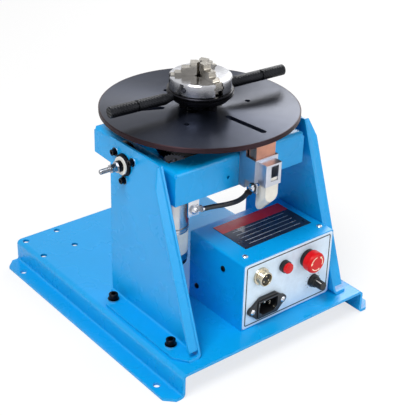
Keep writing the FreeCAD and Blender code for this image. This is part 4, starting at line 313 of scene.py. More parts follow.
@dataclass(frozen=True)
class BareMetal:
    """Uncoated metal that keeps the marks of the tool that made it."""

    name: str
    colour: str
    roughness: float
    lay: Lay
    pitch_mm: float = 1.2
    depth: float = 0.10
    shade_depth: float = 0.08
    centre: tuple[float, float, float] = (0.0, 0.0, 0.0)
    anisotropy: float = 0.0
    region: Region | None = None
    gloss_swing: float = 0.05
    shade_mm: float = 14.0
    wipe_mm: float = 9.0
    mark_height_mm: float = 0.3
    knurl_deg: float = 45.0
    stretch_along: float = 4.0
    stretch_across: float = 400.0
    lines_per_pitch: float = 2.5

    def _marks(self, tree: bpy.types.NodeTree, coords: bpy.types.Node) -> bpy.types.NodeSocket:
        """Height of the tool marks.

        Args:
            tree: The material's node tree.
            coords: The texture coordinate node.

        Returns:
            The height socket.
        """
        place = add_node(tree, "ShaderNodeMapping", {"Location": [-c for c in self.centre]},
                         {"Vector": coords.outputs["Object"]}, vector_type="POINT")
        if self.lay is Lay.CAST:
            grain = add_node(tree, "ShaderNodeTexNoise", {"Scale": 1 / (self.pitch_mm * MM), "Detail": 3.0},
                             {"Vector": place.outputs["Vector"]})
            return grain.outputs["Fac"]
        wave = {"Scale": wave_scale(self.pitch_mm), "Distortion": 0.0, "Detail": 0.0}
        if self.lay is Lay.KNURLED:
            grooves = []
            for turn in (math.radians(self.knurl_deg), math.radians(-self.knurl_deg)):
                turned = add_node(tree, "ShaderNodeMapping", {"Rotation": (0.0, turn, 0.0)},
                                  {"Vector": place.outputs["Vector"]}, vector_type="POINT")
                grooves.append(add_node(tree, "ShaderNodeTexWave", wave, {"Vector": turned.outputs["Vector"]},
                                        wave_type="BANDS", bands_direction="X"))
            crossed = add_node(tree, "ShaderNodeMath", operation="MINIMUM",
                               links={0: grooves[0].outputs["Fac"], 1: grooves[1].outputs["Fac"]})
            return crossed.outputs[0]
        if self.lay is Lay.TURNED:
            rings = add_node(tree, "ShaderNodeTexWave", wave | {"Distortion": 1.5, "Detail": 2.0},
                             {"Vector": place.outputs["Vector"]}, wave_type="RINGS", rings_direction="Z")
            return rings.outputs["Fac"]
        if self.lay in (Lay.THREAD_X, Lay.THREAD_Y):
            thread = add_node(tree, "ShaderNodeTexWave", wave, {"Vector": place.outputs["Vector"]},
                              wave_type="BANDS", bands_direction=self.lay.name[-1], wave_profile="TRI")
            return thread.outputs["Fac"]
        stretch = [self.stretch_across] * 3
        stretch["XYZ".index(self.lay.name[-1])] = self.stretch_along
        scaled = add_node(tree, "ShaderNodeMapping", {"Scale": stretch}, {"Vector": place.outputs["Vector"]})
        lines = add_node(tree, "ShaderNodeTexNoise",
                         {"Scale": 1.0 / self.pitch_mm * self.lines_per_pitch, "Detail": 3.0},
                         {"Vector": scaled.outputs["Vector"]})
        return lines.outputs["Fac"]

    def build(self) -> bpy.types.Material:
        """Builds the metal.

        Returns:
            The finished material.
        """
        material, tree, shader, coords = new_surface(self.name)
        shader.inputs["Metallic"].default_value = 1.0
        colour_and_gloss(tree, coords, shader, self)
        bump = add_node(tree, "ShaderNodeBump",
                        {"Strength": self.depth, "Distance": self.mark_height_mm * MM},
                        {"Height": self._marks(tree, coords)})
        tree.links.new(bump.outputs["Normal"], shader.inputs["Normal"])
        if self.anisotropy:
            # The tangent points away from the table's axis, which spreads a highlight into a fan.
            shader.inputs["Anisotropic"].default_value = self.anisotropy
            offset = add_node(tree, "ShaderNodeVectorMath", {1: self.centre}, {0: coords.outputs["Object"]},
                              operation="SUBTRACT")
            tree.links.new(offset.outputs["Vector"], shader.inputs["Tangent"])
        if self.region:
            self.region.apply(tree, coords, shader)
        return material


@dataclass(frozen=True)
class MouldedPlastic:
    """Injection moulded plastic with a fine spark-eroded grain."""

    name: str
    colour: str
    roughness: float = 0.42
    grain_mm: float = 0.5
    grain: float = 0.12
    coat: float = 0.0
    shine: float = 0.5
    region: Region | None = None
    shade_mm: float = 6.0
    shade_depth: float = 0.05
    wipe_mm: float = 7.0
    gloss_swing: float = 0.05
    grain_height_mm: float = 0.1

    def build(self) -> bpy.types.Material:
        """Builds the plastic.

        Returns:
            The finished material.
        """
        material, tree, shader, coords = new_surface(self.name)
        colour_and_gloss(tree, coords, shader, self)
        grain = add_node(tree, "ShaderNodeTexNoise", {"Scale": 1 / (self.grain_mm * MM), "Detail": 2.0},
                         {"Vector": coords.outputs["Object"]})
        bump = add_node(tree, "ShaderNodeBump",
                        {"Strength": self.grain, "Distance": self.grain_height_mm * MM},
                        {"Height": grain.outputs["Fac"]})
        tree.links.new(bump.outputs["Normal"], shader.inputs["Normal"])
        shader.inputs["Coat Weight"].default_value = self.coat
        shader.inputs["Specular IOR Level"].default_value = self.shine
        if self.region:
            self.region.apply(tree, coords, shader)
        return material


@dataclass(frozen=True)
class PilotLens:
    """Moulded polycarbonate lens, faceted inside, that glows a little from behind."""

    name: str
    colour: str
    roughness: float = 0.2
    shine: float = 0.3
    depth_share: float = 0.2
    depth_mm: float = 1.5
    glow: float = 0.12
    facet_mm: float = 1.8
    facet_height_mm: float = 0.3
    facet: float = 0.25
    shade_mm: float = 3.0
    shade_depth: float = 0.08

    def build(self) -> bpy.types.Material:
        """Builds the lens.

        Returns:
            The finished material.
        """
        material, tree, shader, coords = new_surface(self.name)
        tree.links.new(mottle(tree, coords, self.colour, self.shade_mm, self.shade_depth),
                       shader.inputs["Base Color"])
        shader.inputs["Roughness"].default_value = self.roughness
        shader.inputs["Subsurface Weight"].default_value = self.depth_share
        shader.inputs["Subsurface Scale"].default_value = self.depth_mm * MM
        shader.inputs["Emission Color"].default_value = linear(self.colour)
        shader.inputs["Emission Strength"].default_value = self.glow
        shader.inputs["Specular IOR Level"].default_value = self.shine
        facets = add_node(tree, "ShaderNodeTexVoronoi", {"Scale": 1 / (self.facet_mm * MM)},
                          {"Vector": coords.outputs["Object"]})
        bump = add_node(tree, "ShaderNodeBump",
                        {"Strength": self.facet, "Distance": self.facet_height_mm * MM},
                        {"Height": facets.outputs["Distance"]})
        tree.links.new(bump.outputs["Normal"], shader.inputs["Normal"])
        return material


@dataclass(frozen=True)
class Finishes:
    """Every finish of the machine, by the place it is used."""

    # Polyester powder coat on folded sheet: an even sky blue, satin, with soft bright folds.
    blue: PowderCoat = PowderCoat("blue_powder_coat", "#059ee2")
    # Turned and blued plate: dark slate with a fan of light from the middle and a dull brown rim. The rings
    # are drawn 1.4 mm apart, coarser than a lathe leaves them, so that they show.
    table: BareMetal = BareMetal(
        "turned_table_steel", "#2b303e", 0.32, Lay.TURNED, pitch_mm=1.4, depth=0.08, shade_depth=0.06,
        centre=TABLE_AXIS, anisotropy=0.9, region=Region("#33262a", 0.5, rim_mm=98.7), gloss_swing=0.015)
    # Machined steel: plain light grey, a little soft.
    steel: BareMetal = BareMetal("machined_steel", "#b4b6bd", 0.30, Lay.CAST, pitch_mm=0.8, depth=0.06)
    # Nickel plate: nearly a mirror, slightly cool.
    plated: BareMetal = BareMetal(
        "nickel_plated_steel", "#cfd1d6", 0.16, Lay.CAST, pitch_mm=1.5, depth=0.03)
    # Turned bar: mid grey with faint rings.
    spindle_steel: BareMetal = BareMetal(
        "turned_spindle_steel", "#9a9ca3", 0.28, Lay.TURNED, pitch_mm=0.9, depth=0.08, shade_depth=0.06,
        centre=TABLE_AXIS)
    # Ground chuck body: bright, with light and dark streaks that run down its side.
    chuck: BareMetal = BareMetal(
        "ground_chuck_steel", "#bcbdc2", 0.17, Lay.TURNED, pitch_mm=1.1, depth=0.04, shade_depth=0.06,
        centre=TABLE_AXIS, anisotropy=0.7)
    # Hardened and ground jaws: warmer and duller than the body, so their steps stand out.
    jaw: BareMetal = BareMetal(
        "ground_jaw_steel", "#a39f98", 0.20, Lay.CAST, pitch_mm=1.0, depth=0.10, shade_depth=0.18)
    # Black oxide screws outside the uprights, bright washers and nuts inside them.
    pivot_black: BareMetal = BareMetal(
        "black_oxide_pivot_screws", "#1b1b1f", 0.40, Lay.CAST, pitch_mm=0.7, depth=0.12, shade_depth=0.20,
        region=Region("#d9dadf", 0.35, low_mm=(-92.3, -FAR_MM, -FAR_MM), high_mm=(92.3, FAR_MM, FAR_MM)))
    # Plated nuts on the earth stud, with a black spacer behind them.
    stud_nuts: BareMetal = BareMetal(
        "plated_stud_nuts", "#a5a6ab", 0.28, Lay.CAST, pitch_mm=1.2, depth=0.08, shade_depth=0.12,
        region=Region("#1b1b1f", 0.40, low_mm=(-100.6, -FAR_MM, -FAR_MM), high_mm=(100.6, FAR_MM, FAR_MM)))
    # Tinned copper terminals: soft silver at the frame, covered by a dull black sleeve at the brush.
    lugs: BareMetal = BareMetal(
        "tinned_lugs_with_sleeves", "#b9bbc0", 0.30, Lay.CAST, pitch_mm=1.2, depth=0.06,
        region=Region("#17171a", 0.5, high_mm=(FAR_MM, -95.0, FAR_MM), metallic=0.0))
    # Black oxide screws that stand on bright plated washers.
    foot_black: BareMetal = BareMetal(
        "black_oxide_foot_screws", "#1b1b1f", 0.40, Lay.CAST, pitch_mm=0.7, depth=0.12, shade_depth=0.20,
        region=Region("#c2c4c9", 0.25, high_mm=(FAR_MM, FAR_MM, 31.1)))
    # Bright plated screws on the cover's top, near-black ones on its left side, where the box lies in shade.
    box_screw: BareMetal = BareMetal(
        "plated_box_screws", "#cfd1d6", 0.20, Lay.CAST, pitch_mm=1.5, depth=0.03,
        region=Region("#17171a", 0.4, high_mm=(-31.5, FAR_MM, FAR_MM)))
    # Black oxide: near black with the dull sheen of an oiled skin.
    black_oxide: BareMetal = BareMetal(
        "black_oxide_steel", "#1b1b1f", 0.42, Lay.CAST, pitch_mm=0.7, depth=0.12, shade_depth=0.20)
    # Knurled bars: crossed grooves that break up the highlight, drawn 2.2 mm apart so that they show.
    knurl: BareMetal = BareMetal(
        "black_knurled_steel", "#232427", 0.42, Lay.KNURLED, pitch_mm=2.2, depth=1.0, shade_depth=0.25)
    # Black oxide over turned steel: dark, with a narrow glint round the ring.
    scroll: BareMetal = BareMetal(
        "black_oxide_turned_steel", "#202024", 0.30, Lay.TURNED, pitch_mm=0.8, depth=0.10, shade_depth=0.15,
        centre=TABLE_AXIS)
    # Mill-finish aluminium: pale and cool, with upright draw lines.
    aluminium: BareMetal = BareMetal(
        "mill_finish_aluminium", "#bcc0ca", 0.33, Lay.BRUSHED_Z, pitch_mm=1.0, depth=0.12)
    # Drawn and plated motor can: bright upright streaks.
    motor: BareMetal = BareMetal(
        "drawn_motor_steel", "#b8bbbf", 0.24, Lay.BRUSHED_Z, pitch_mm=1.0, depth=0.10)
    # Rolled thread of 1.25 mm pitch: fine light and dark rings along the stud.
    thread: BareMetal = BareMetal(
        "threaded_stud_steel", "#8d8f94", 0.30, Lay.THREAD_X, pitch_mm=1.25, depth=0.9)
    # Nickel plate over brass with a 1 mm thread: a warm, ringed silver.
    connector: BareMetal = BareMetal(
        "nickel_plated_brass", "#c8c0ac", 0.22, Lay.THREAD_Y, pitch_mm=1.0, depth=0.6)
    # Sawn copper block: salmon, dulled by handling, with faint scratches across.
    copper: BareMetal = BareMetal(
        "brush_copper", "#b98672", 0.40, Lay.BRUSHED_X, pitch_mm=1.2, depth=0.12, shade_depth=0.14)
    # Moulded nylon: deep black with a soft highlight.
    black_plastic: MouldedPlastic = MouldedPlastic(
        "black_moulded_nylon", "#101113", 0.34, grain_mm=1.4, grain=0.06, shine=0.35)
    # Moulded insert: black round three bright, warm pin tips.
    contacts: MouldedPlastic = MouldedPlastic(
        "black_insert_with_pins", "#131418", 0.40,
        region=Region("#cfc7b0", 0.25, high_mm=(FAR_MM, -137.5, FAR_MM)))
    # Moulded inlet: black, with the bright blades deep in its opening.
    inlet: MouldedPlastic = MouldedPlastic(
        "black_inlet_with_blades", "#17191d", 0.40,
        region=Region("#d8d4c8", 0.25, low_mm=(-10.0, -136.0, 41.5), high_mm=(9.6, -119.2, 52.5)))
    # Extruded PVC sleeve: soft black, almost without a highlight.
    soft_black: MouldedPlastic = MouldedPlastic(
        "black_pvc_sleeve", "#141519", 0.52, grain_mm=0.9, grain=0.25)
    # Turned nylon: plain off-white.
    white_plastic: MouldedPlastic = MouldedPlastic("white_nylon", "#e9e7e0", 0.45)
    # Glazed insulator: cream, with the sharp highlight of its glaze.
    ceramic: MouldedPlastic = MouldedPlastic(
        "glazed_white_insulator", "#dfdcd2", 0.14, grain_mm=1.5, grain=0.03, coat=0.5)
    # Moulded ABS: full red with a narrow satin highlight.
    red_plastic: MouldedPlastic = MouldedPlastic(
        "red_moulded_abs", "#ce0009", 0.34, grain_mm=0.8, grain=0.05, shine=0.25)
    # Moulded polycarbonate: a deep red that glows faintly.
    lens: PilotLens = PilotLens("red_pilot_lens", "#c00208")
    # Printed polyester film: pale blue-grey and satin.
    panel_film: MouldedPlastic = MouldedPlastic(
        "pale_panel_film", "#d3e6f6", 0.38, grain_mm=0.7, grain=0.06)
    # Screen-printed inks: flat colour with a soft edge of gloss.
    print_black: MouldedPlastic = MouldedPlastic(
        "black_panel_print", "#101116", 0.45, grain_mm=0.7, grain=0.05)
    plate_black: MouldedPlastic = MouldedPlastic(
        "black_plate_print", "#1b1e2c", 0.30, grain_mm=0.9, grain=0.04, coat=0.2)
    plate_red: MouldedPlastic = MouldedPlastic("red_plate_print", "#d31520", 0.40, grain_mm=0.9, grain=0.04)
    plate_pale: MouldedPlastic = MouldedPlastic("pale_print", "#ccd3dc", 0.40, grain_mm=0.9, grain=0.04)
    print_cream: MouldedPlastic = MouldedPlastic("cream_print", "#f0dcc0", 0.40, grain_mm=0.9, grain=0.04)
    # Paper label: pale, dull and faintly fibrous.
    motor_label: MouldedPlastic = MouldedPlastic(
        "pale_paper_label", "#d3dad7", 0.45, grain_mm=0.6, grain=0.08)
    # Glass-fibre board under green lacquer.
    board: MouldedPlastic = MouldedPlastic("green_circuit_board", "#1f5c3c", 0.35, grain_mm=0.8, grain=0.1)


def node_centre(node: str) -> Vector:
    """Middle of a CAD node's box at rest."""
    low, high = (Vector(corner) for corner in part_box(node))
    return (low + high) / 2


def facing_front(centre: Vector) -> Matrix:
    """Places a flat drawing, made in X and Y, on a face that looks towards -Y."""
    return Matrix.Translation(centre) @ Matrix.Rotation(math.pi / 2, 4, "X")


@dataclass
class Workshop:
    """Makes the pieces: turns a bmesh into a finished object on its body."""

    finishes: Finishes = field(default_factory=Finishes)
    made: dict[str, bpy.types.Material] = field(default_factory=dict)

    def material(self, finish: PowderCoat | BareMetal | MouldedPlastic | PilotLens) -> bpy.types.Material:
        """Builds a finish once and hands it out again.

        Args:
            finish: The finish to look up.

        Returns:
            Its material.
        """
        if finish.name not in self.made:
            self.made[finish.name] = finish.build()
        return self.made[finish.name]

    def dress(self, node: str, finish: PowderCoat | BareMetal | MouldedPlastic | PilotLens) -> None:
        """Gives a CAD node its finish.

        Args:
            node: The node's name.
            finish: What it is made of.
        """
        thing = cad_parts[node]
        if not thing.material_slots:
            thing.data.materials.append(None)
        for held in thing.material_slots:
            held.material = self.material(finish)

    def piece(self, shape: bmesh.types.BMesh, name: str, finish: MouldedPlastic | BareMetal, body: str,
              slot: str, smooth: bool = False) -> bpy.types.Object:
        """Turns a bmesh in the row's frame into a piece that rides on a body.

        Args:
            shape: The finished bmesh, freed here.
            name: The piece's name.
            finish: What it is made of.
            body: The CAD body that it moves with.
            slot: Not used.
            smooth: Whether its faces are shaded smooth.

        Returns:
            The new object.
        """
        bmesh.ops.remove_doubles(shape, verts=shape.verts, dist=MERGE_DISTANCE)
        bmesh.ops.recalc_face_normals(shape, faces=shape.faces)
        mesh = bpy.data.meshes.new(name)
        shape.to_mesh(mesh)
        shape.free()
        for face in mesh.polygons:
            face.use_smooth = smooth
        mesh.materials.append(self.material(finish))
        thing = bpy.data.objects.new(name, mesh)
        bpy.context.collection.objects.link(thing)
        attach(thing, body)
        LOG.info("made %s", name)
        return thing


def raise_flat(shape: bmesh.types.BMesh, height: float) -> None:
    """Gives a flat drawing its thickness along +Z.

    Args:
        shape: The flat bmesh.
        height: Thickness in metres.
    """
    grown = bmesh.ops.extrude_face_region(shape, geom=shape.faces[:])
    verts = [v for v in grown["geom"] if isinstance(v, bmesh.types.BMVert)]
    bmesh.ops.translate(shape, verts=verts, vec=(0, 0, height))


def bar_flat(shape: bmesh.types.BMesh, width: float, depth: float, place: Matrix) -> None:
    """Adds a flat rectangle.

    Args:
        shape: The bmesh it goes into.
        width: Size along X in metres.
        depth: Size along Y in metres.
        place: Where its middle goes.
    """
    size = Matrix.Diagonal((width / 2, depth / 2, 1, 1))
    bmesh.ops.create_grid(shape, x_segments=1, y_segments=1, size=1.0, matrix=place @ size)


def arc_flat(shape: bmesh.types.BMesh, radius: float, width: float, start_deg: float,
             sweep_deg: float) -> None:
    """Adds a flat arc band about the Z axis.

    Args:
        shape: The bmesh it goes into.
        radius: Middle radius in metres.
        width: Band width in metres.
        start_deg: Angle where it starts.
        sweep_deg: Angle that it covers.
    """
    fewest, step_deg = 6, 5
    turn = Matrix.Rotation(math.radians(start_deg), 3, "Z")
    ends = [shape.verts.new(turn @ Vector((radius + side * width / 2, 0, 0))) for side in (-1, 1)]
    edge = shape.edges.new(ends)
    bmesh.ops.spin(shape, geom=[*ends, edge], cent=(0, 0, 0), axis=(0, 0, 1),
                   angle=math.radians(sweep_deg), steps=max(fewest, int(sweep_deg / step_deg)),
                   use_merge=False)


@dataclass
class Base:
    """Base plate, uprights and the fixed parts of the pivots."""

    shop: Workshop

    def build(self) -> None:
        """Dresses the CAD nodes."""
        f = self.shop.finishes
        for node in ("base_plate", "left_upright", "right_upright"):
            self.shop.dress(node, f.blue)
        self.shop.dress("upright_foot_fasteners", f.foot_black)
        self.shop.dress("pivot_housings", f.black_oxide)
        self.shop.dress("pivot_housing_fasteners", f.pivot_black)
        # Sintered bronze, which is close to the brush's copper and is hidden in the housings.
        self.shop.dress("pivot_bushes", f.copper)


@dataclass
class TiltingFrame:
    """Frame with its trunnions, drive plate, motor and gears."""

    shop: Workshop
    label_proud: float = 0.08 * MM
    label_drop: float = 2.5 * MM
    label_height: float = 24.0 * MM
    label_sweep_deg: float = 250.0
    label_start_deg: float = 150.0
    label_steps: int = 60

    def motor_label(self) -> None:
        """Wraps a bare paper label round the motor."""
        low, high = (Vector(corner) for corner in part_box("motor_can"))
        centre = (low + high) / 2
        radius = (high.x - low.x) / 2 + self.label_proud
        shape = bmesh.new()
        top = high.z - self.label_drop
        ends = [shape.verts.new((centre.x + radius, centre.y, z)) for z in (top, top - self.label_height)]
        edge = shape.edges.new(ends)
        turn = Matrix.Rotation(math.radians(self.label_start_deg), 3, "Z")
        bmesh.ops.rotate(shape, verts=ends, cent=centre, matrix=turn)
        bmesh.ops.spin(shape, geom=[*ends, edge], cent=centre, axis=(0, 0, 1),
                       angle=math.radians(self.label_sweep_deg), steps=self.label_steps, use_merge=False)
        self.shop.piece(shape, "motor_label", self.shop.finishes.motor_label, "tilting_body",
                        "white_plastic", smooth=True)

    def build(self) -> None:
        """Dresses the CAD nodes and adds the motor's label."""
        f = self.shop.finishes
        for node, finish in (("tilt_frame", f.blue), ("drive_plate", f.blue), ("trunnions", f.thread),
                             ("trunnion_washers", f.white_plastic), ("trunnion_nuts", f.stud_nuts),
                             ("drive_plate_screws", f.black_oxide), ("gearbox", f.motor),
                             ("motor_can", f.motor), ("motor_end_cap", f.black_plastic),
                             ("motor_pinion", f.steel), ("spindle_housing", f.spindle_steel),
                             ("spindle_bearings", f.steel), ("tilt_lock_lever", f.black_plastic)):
            self.shop.dress(node, finish)
        self.motor_label()


@dataclass
class EarthBrush:
    """Copper brush, its holder on the frame's front and its cable."""

    shop: Workshop
    cable_mm: float = 5.0
    curve_steps: int = 10
    round_steps: int = 6
    route_mm: tuple[tuple[float, float, float], ...] = (
        (-6.8, -101.85, 161.55), (-6.8, -95.82, 152.35), (-14.5, -84.5, 144.5), (-30.81, -79.3, 144.88),
        (-41.75, -79.3, 146.02))

    def cable(self) -> None:
        """Runs the sleeved earth cable between its two terminals."""
        curve = bpy.data.curves.new("earth_cable", "CURVE")
        curve.dimensions = "3D"
        curve.resolution_u = self.curve_steps
        spline = curve.splines.new("NURBS")
        spline.points.add(len(self.route_mm) - 1)
        for point, place in zip(spline.points, self.route_mm):
            point.co = (*[c * MM for c in place], 1)
        spline.order_u = 3
        spline.use_endpoint_u = True
        spline.resolution_u = self.curve_steps
        thing = bpy.data.objects.new("earth_cable", curve)
        bpy.context.collection.objects.link(thing)
        bpy.context.view_layer.update()
        # Before it gets its thickness, the curve's own mesh is its middle line.
        line = bpy.data.meshes.new_from_object(thing)
        bpy.data.meshes.remove(line)
        curve.bevel_depth = self.cable_mm * MM / 2
        curve.bevel_resolution = self.round_steps
        curve.use_fill_caps = True
        curve.materials.append(self.shop.material(self.shop.finishes.soft_black))
        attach(thing, "tilting_body")
        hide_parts("ground_cable")

    def build(self) -> None:
        """Dresses the CAD nodes and runs the cable."""
        f = self.shop.finishes
        for node in ("brush_bracket", "brush_holder", "brush_clip"):
            self.shop.dress(node, f.aluminium)
        self.shop.dress("copper_brush", f.copper)
        self.shop.dress("brush_finger", f.ceramic)
        for node in ("brush_springs", "ground_bracket", "brush_screws"):
            self.shop.dress(node, f.plated)
        self.shop.dress("ground_lugs", f.lugs)
        self.cable()


@dataclass
class TurntableAndChuck:
    """Spindle, work table and scroll chuck."""

    shop: Workshop

    def build(self) -> None:
        """Dresses the CAD nodes."""
        f = self.shop.finishes
        self.shop.dress("turntable", f.table)
        for node in ("spindle", "spindle_collar"):
            self.shop.dress(node, f.spindle_steel)
        self.shop.dress("spindle_gear", f.scroll)
        for node in ("turntable_screws", "chuck_pedestal", "chuck_studs_and_nuts"):
            self.shop.dress(node, f.black_oxide)
        self.shop.dress("tommy_bars", f.knurl)
        for node in ("chuck_back_plate", "scroll_ring"):
            self.shop.dress(node, f.scroll)
        self.shop.dress("chuck_body", f.chuck)
        for number in (1, 2, 3):
            self.shop.dress(f"chuck_jaw_{number}", f.jaw)


@dataclass
class ControlBox:
    """Box on the base with its plates, controls and what it holds."""

    shop: Workshop
    print_height: float = 0.05 * MM
    line_inset: float = 2.4 * MM
    line_width: float = 1.3 * MM
    line_radius: float = 2.6 * MM
    line_segments: int = 6
    dial_radius: float = 9.4 * MM
    dial_ticks: int = 11
    dial_start_deg: float = 225
    dial_sweep_deg: float = 270
    tick_length: float = 1.3 * MM
    tick_width: float = 0.45 * MM
    pointer_deg: float = 120.0
    pointer_back: float = 4.8 * MM
    pointer_radius: float = 4.64 * MM
    pointer_slope: float = 0.034
    pointer_length: float = 7.6 * MM
    pointer_width: float = 0.9 * MM
    band_share: float = 0.30
    band_margin: float = 0.2 * MM
    rule_count: int = 5
    rule_first: float = 0.12
    rule_step: float = 0.125
    rule_share: float = 0.78
    rule_width: float = 0.45 * MM
    arrow_starts_deg: tuple[int, int, int] = (95, 215, 335)
    arrow_sweep_deg: int = 70
    arrow_radius_share: float = 0.33
    arrow_width: float = 1.0 * MM
    arrow_head_half: float = 1.5 * MM
    arrow_head_length: float = 2.4 * MM

    def panel_line(self) -> None:
        """Prints the rounded line inside the panel film's edge."""
        low, high = (Vector(corner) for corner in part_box("panel_overlay"))
        shape = bmesh.new()
        bar_flat(shape, high.x - low.x - 2 * self.line_inset, high.z - low.z - 2 * self.line_inset,
                 Matrix())
        bmesh.ops.bevel(shape, geom=shape.verts[:], offset=self.line_radius,
                        segments=self.line_segments, profile=0.5, affect="VERTICES", material=-1)
        rim = bmesh.ops.inset_region(shape, faces=shape.faces[:], thickness=self.line_width,
                                     use_boundary=True, use_even_offset=True)
        inner = [face for face in shape.faces if face not in rim["faces"]]
        bmesh.ops.delete(shape, geom=inner, context="FACES")
        raise_flat(shape, self.print_height)
        middle = Vector(((low.x + high.x) / 2, low.y, (low.z + high.z) / 2))
        bmesh.ops.transform(shape, matrix=facing_front(middle), verts=shape.verts)
        self.shop.piece(shape, "panel_line", self.shop.finishes.print_black, "stand", "black_plastic")

    def dial(self) -> None:
        """Prints a plain tick scale round the speed knob."""
        centre = node_centre("speed_knob")
        centre.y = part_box("panel_overlay")[0][1]
        shape = bmesh.new()
        for i in range(self.dial_ticks):
            angle = math.radians(self.dial_start_deg - self.dial_sweep_deg * i / (self.dial_ticks - 1))
            place = Matrix.Rotation(angle, 4, "Z") @ Matrix.Translation((self.dial_radius, 0, 0))
            bar_flat(shape, self.tick_length, self.tick_width, place)
        raise_flat(shape, self.print_height)
        bmesh.ops.transform(shape, matrix=facing_front(centre), verts=shape.verts)
        self.shop.piece(shape, "dial_scale", self.shop.finishes.print_black, "stand", "black_plastic")

    def nameplate(self) -> None:
        """Prints a plain band and blank ruled lines on the plate."""
        low, high = (Vector(corner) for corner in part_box("nameplate"))
        width, depth = high.x - low.x, high.y - low.y
        band = bmesh.new()
        middle = Vector(((low.x + high.x) / 2, high.y - depth * self.band_share / 2, high.z))
        bar_flat(band, width - 2 * self.band_margin, depth * self.band_share, Matrix.Translation(middle))
        raise_flat(band, self.print_height)
        self.shop.piece(band, "plate_band", self.shop.finishes.plate_red, "stand", "red_plastic")
        rules = bmesh.new()
        for i in range(self.rule_count):
            y = low.y + depth * (self.rule_first + self.rule_step * i)
            spot = Vector(((low.x + high.x) / 2, y, high.z))
            bar_flat(rules, width * self.rule_share, self.rule_width, Matrix.Translation(spot))
        raise_flat(rules, self.print_height)
        self.shop.piece(rules, "plate_rules", self.shop.finishes.plate_pale, "stand", "white_plastic")

    def stop_arrows(self) -> None:
        """Prints three turn-to-release arrows on the stop button's face."""
        low, high = (Vector(corner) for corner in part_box("estop_button"))
        centre = (low + high) / 2
        centre.y = low.y
        shape = bmesh.new()
        radius = (high.x - low.x) * self.arrow_radius_share
        half = self.arrow_head_half
        head = [Vector((-half, 0, 0)), Vector((half, 0, 0)), Vector((0, self.arrow_head_length, 0))]
        for start in self.arrow_starts_deg:
            arc_flat(shape, radius, self.arrow_width, start, self.arrow_sweep_deg)
            turn = Matrix.Rotation(math.radians(start + self.arrow_sweep_deg), 4, "Z")
            place = turn @ Matrix.Translation((radius, 0, 0))
            shape.faces.new([shape.verts.new(place @ corner) for corner in head])
        raise_flat(shape, self.print_height)
        bmesh.ops.transform(shape, matrix=facing_front(centre), verts=shape.verts)
        self.shop.piece(shape, "stop_arrows", self.shop.finishes.print_cream, "stop_button", "white_plastic")

    def knob_pointer(self) -> None:
        """Prints the white line along the side of the speed knob's nose."""
        low, high = (Vector(corner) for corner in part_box("speed_knob"))
        centre = (low + high) / 2
        centre.y = low.y + self.pointer_back
        angle = math.radians(self.pointer_deg)
        spoke, axis = Vector((math.cos(angle), 0, math.sin(angle))), Vector((0, 1, 0))
        # The line runs along the knob's axis, faces out along the spoke and leans with the nose's taper.
        lay = Matrix((axis, spoke.cross(axis), spoke)).transposed().to_4x4()
        slope = Matrix.Rotation(-self.pointer_slope, 4, "Y")
        shape = bmesh.new()
        bar_flat(shape, self.pointer_length, self.pointer_width, Matrix())
        raise_flat(shape, self.print_height)
        place = Matrix.Translation(centre + spoke * self.pointer_radius) @ lay @ slope
        bmesh.ops.transform(shape, matrix=place, verts=shape.verts)
        self.shop.piece(shape, "knob_pointer", self.shop.finishes.white_plastic, "knob", "white_plastic")

    def build(self) -> None:
        """Dresses the CAD nodes and prints the panel, plate and controls."""
        f = self.shop.finishes
        for node, finish in (("box_chassis", f.blue), ("box_cover", f.blue), ("box_screws", f.box_screw),
                             ("panel_overlay", f.panel_film), ("nameplate", f.plate_black),
                             ("foot_switch_socket", f.connector), ("socket_insert", f.contacts),
                             ("mains_inlet", f.inlet), ("lamp_bezel", f.black_plastic),
                             ("lamp_lens", f.lens), ("estop_collar", f.black_plastic),
                             ("estop_button", f.red_plastic), ("speed_knob", f.black_plastic),
                             ("speed_control", f.plated), ("power_supply", f.aluminium),
                             ("control_board", f.board)):
            self.shop.dress(node, finish)
        self.panel_line()
        self.dial()
        self.nameplate()
        self.stop_arrows()
        self.knob_pointer()


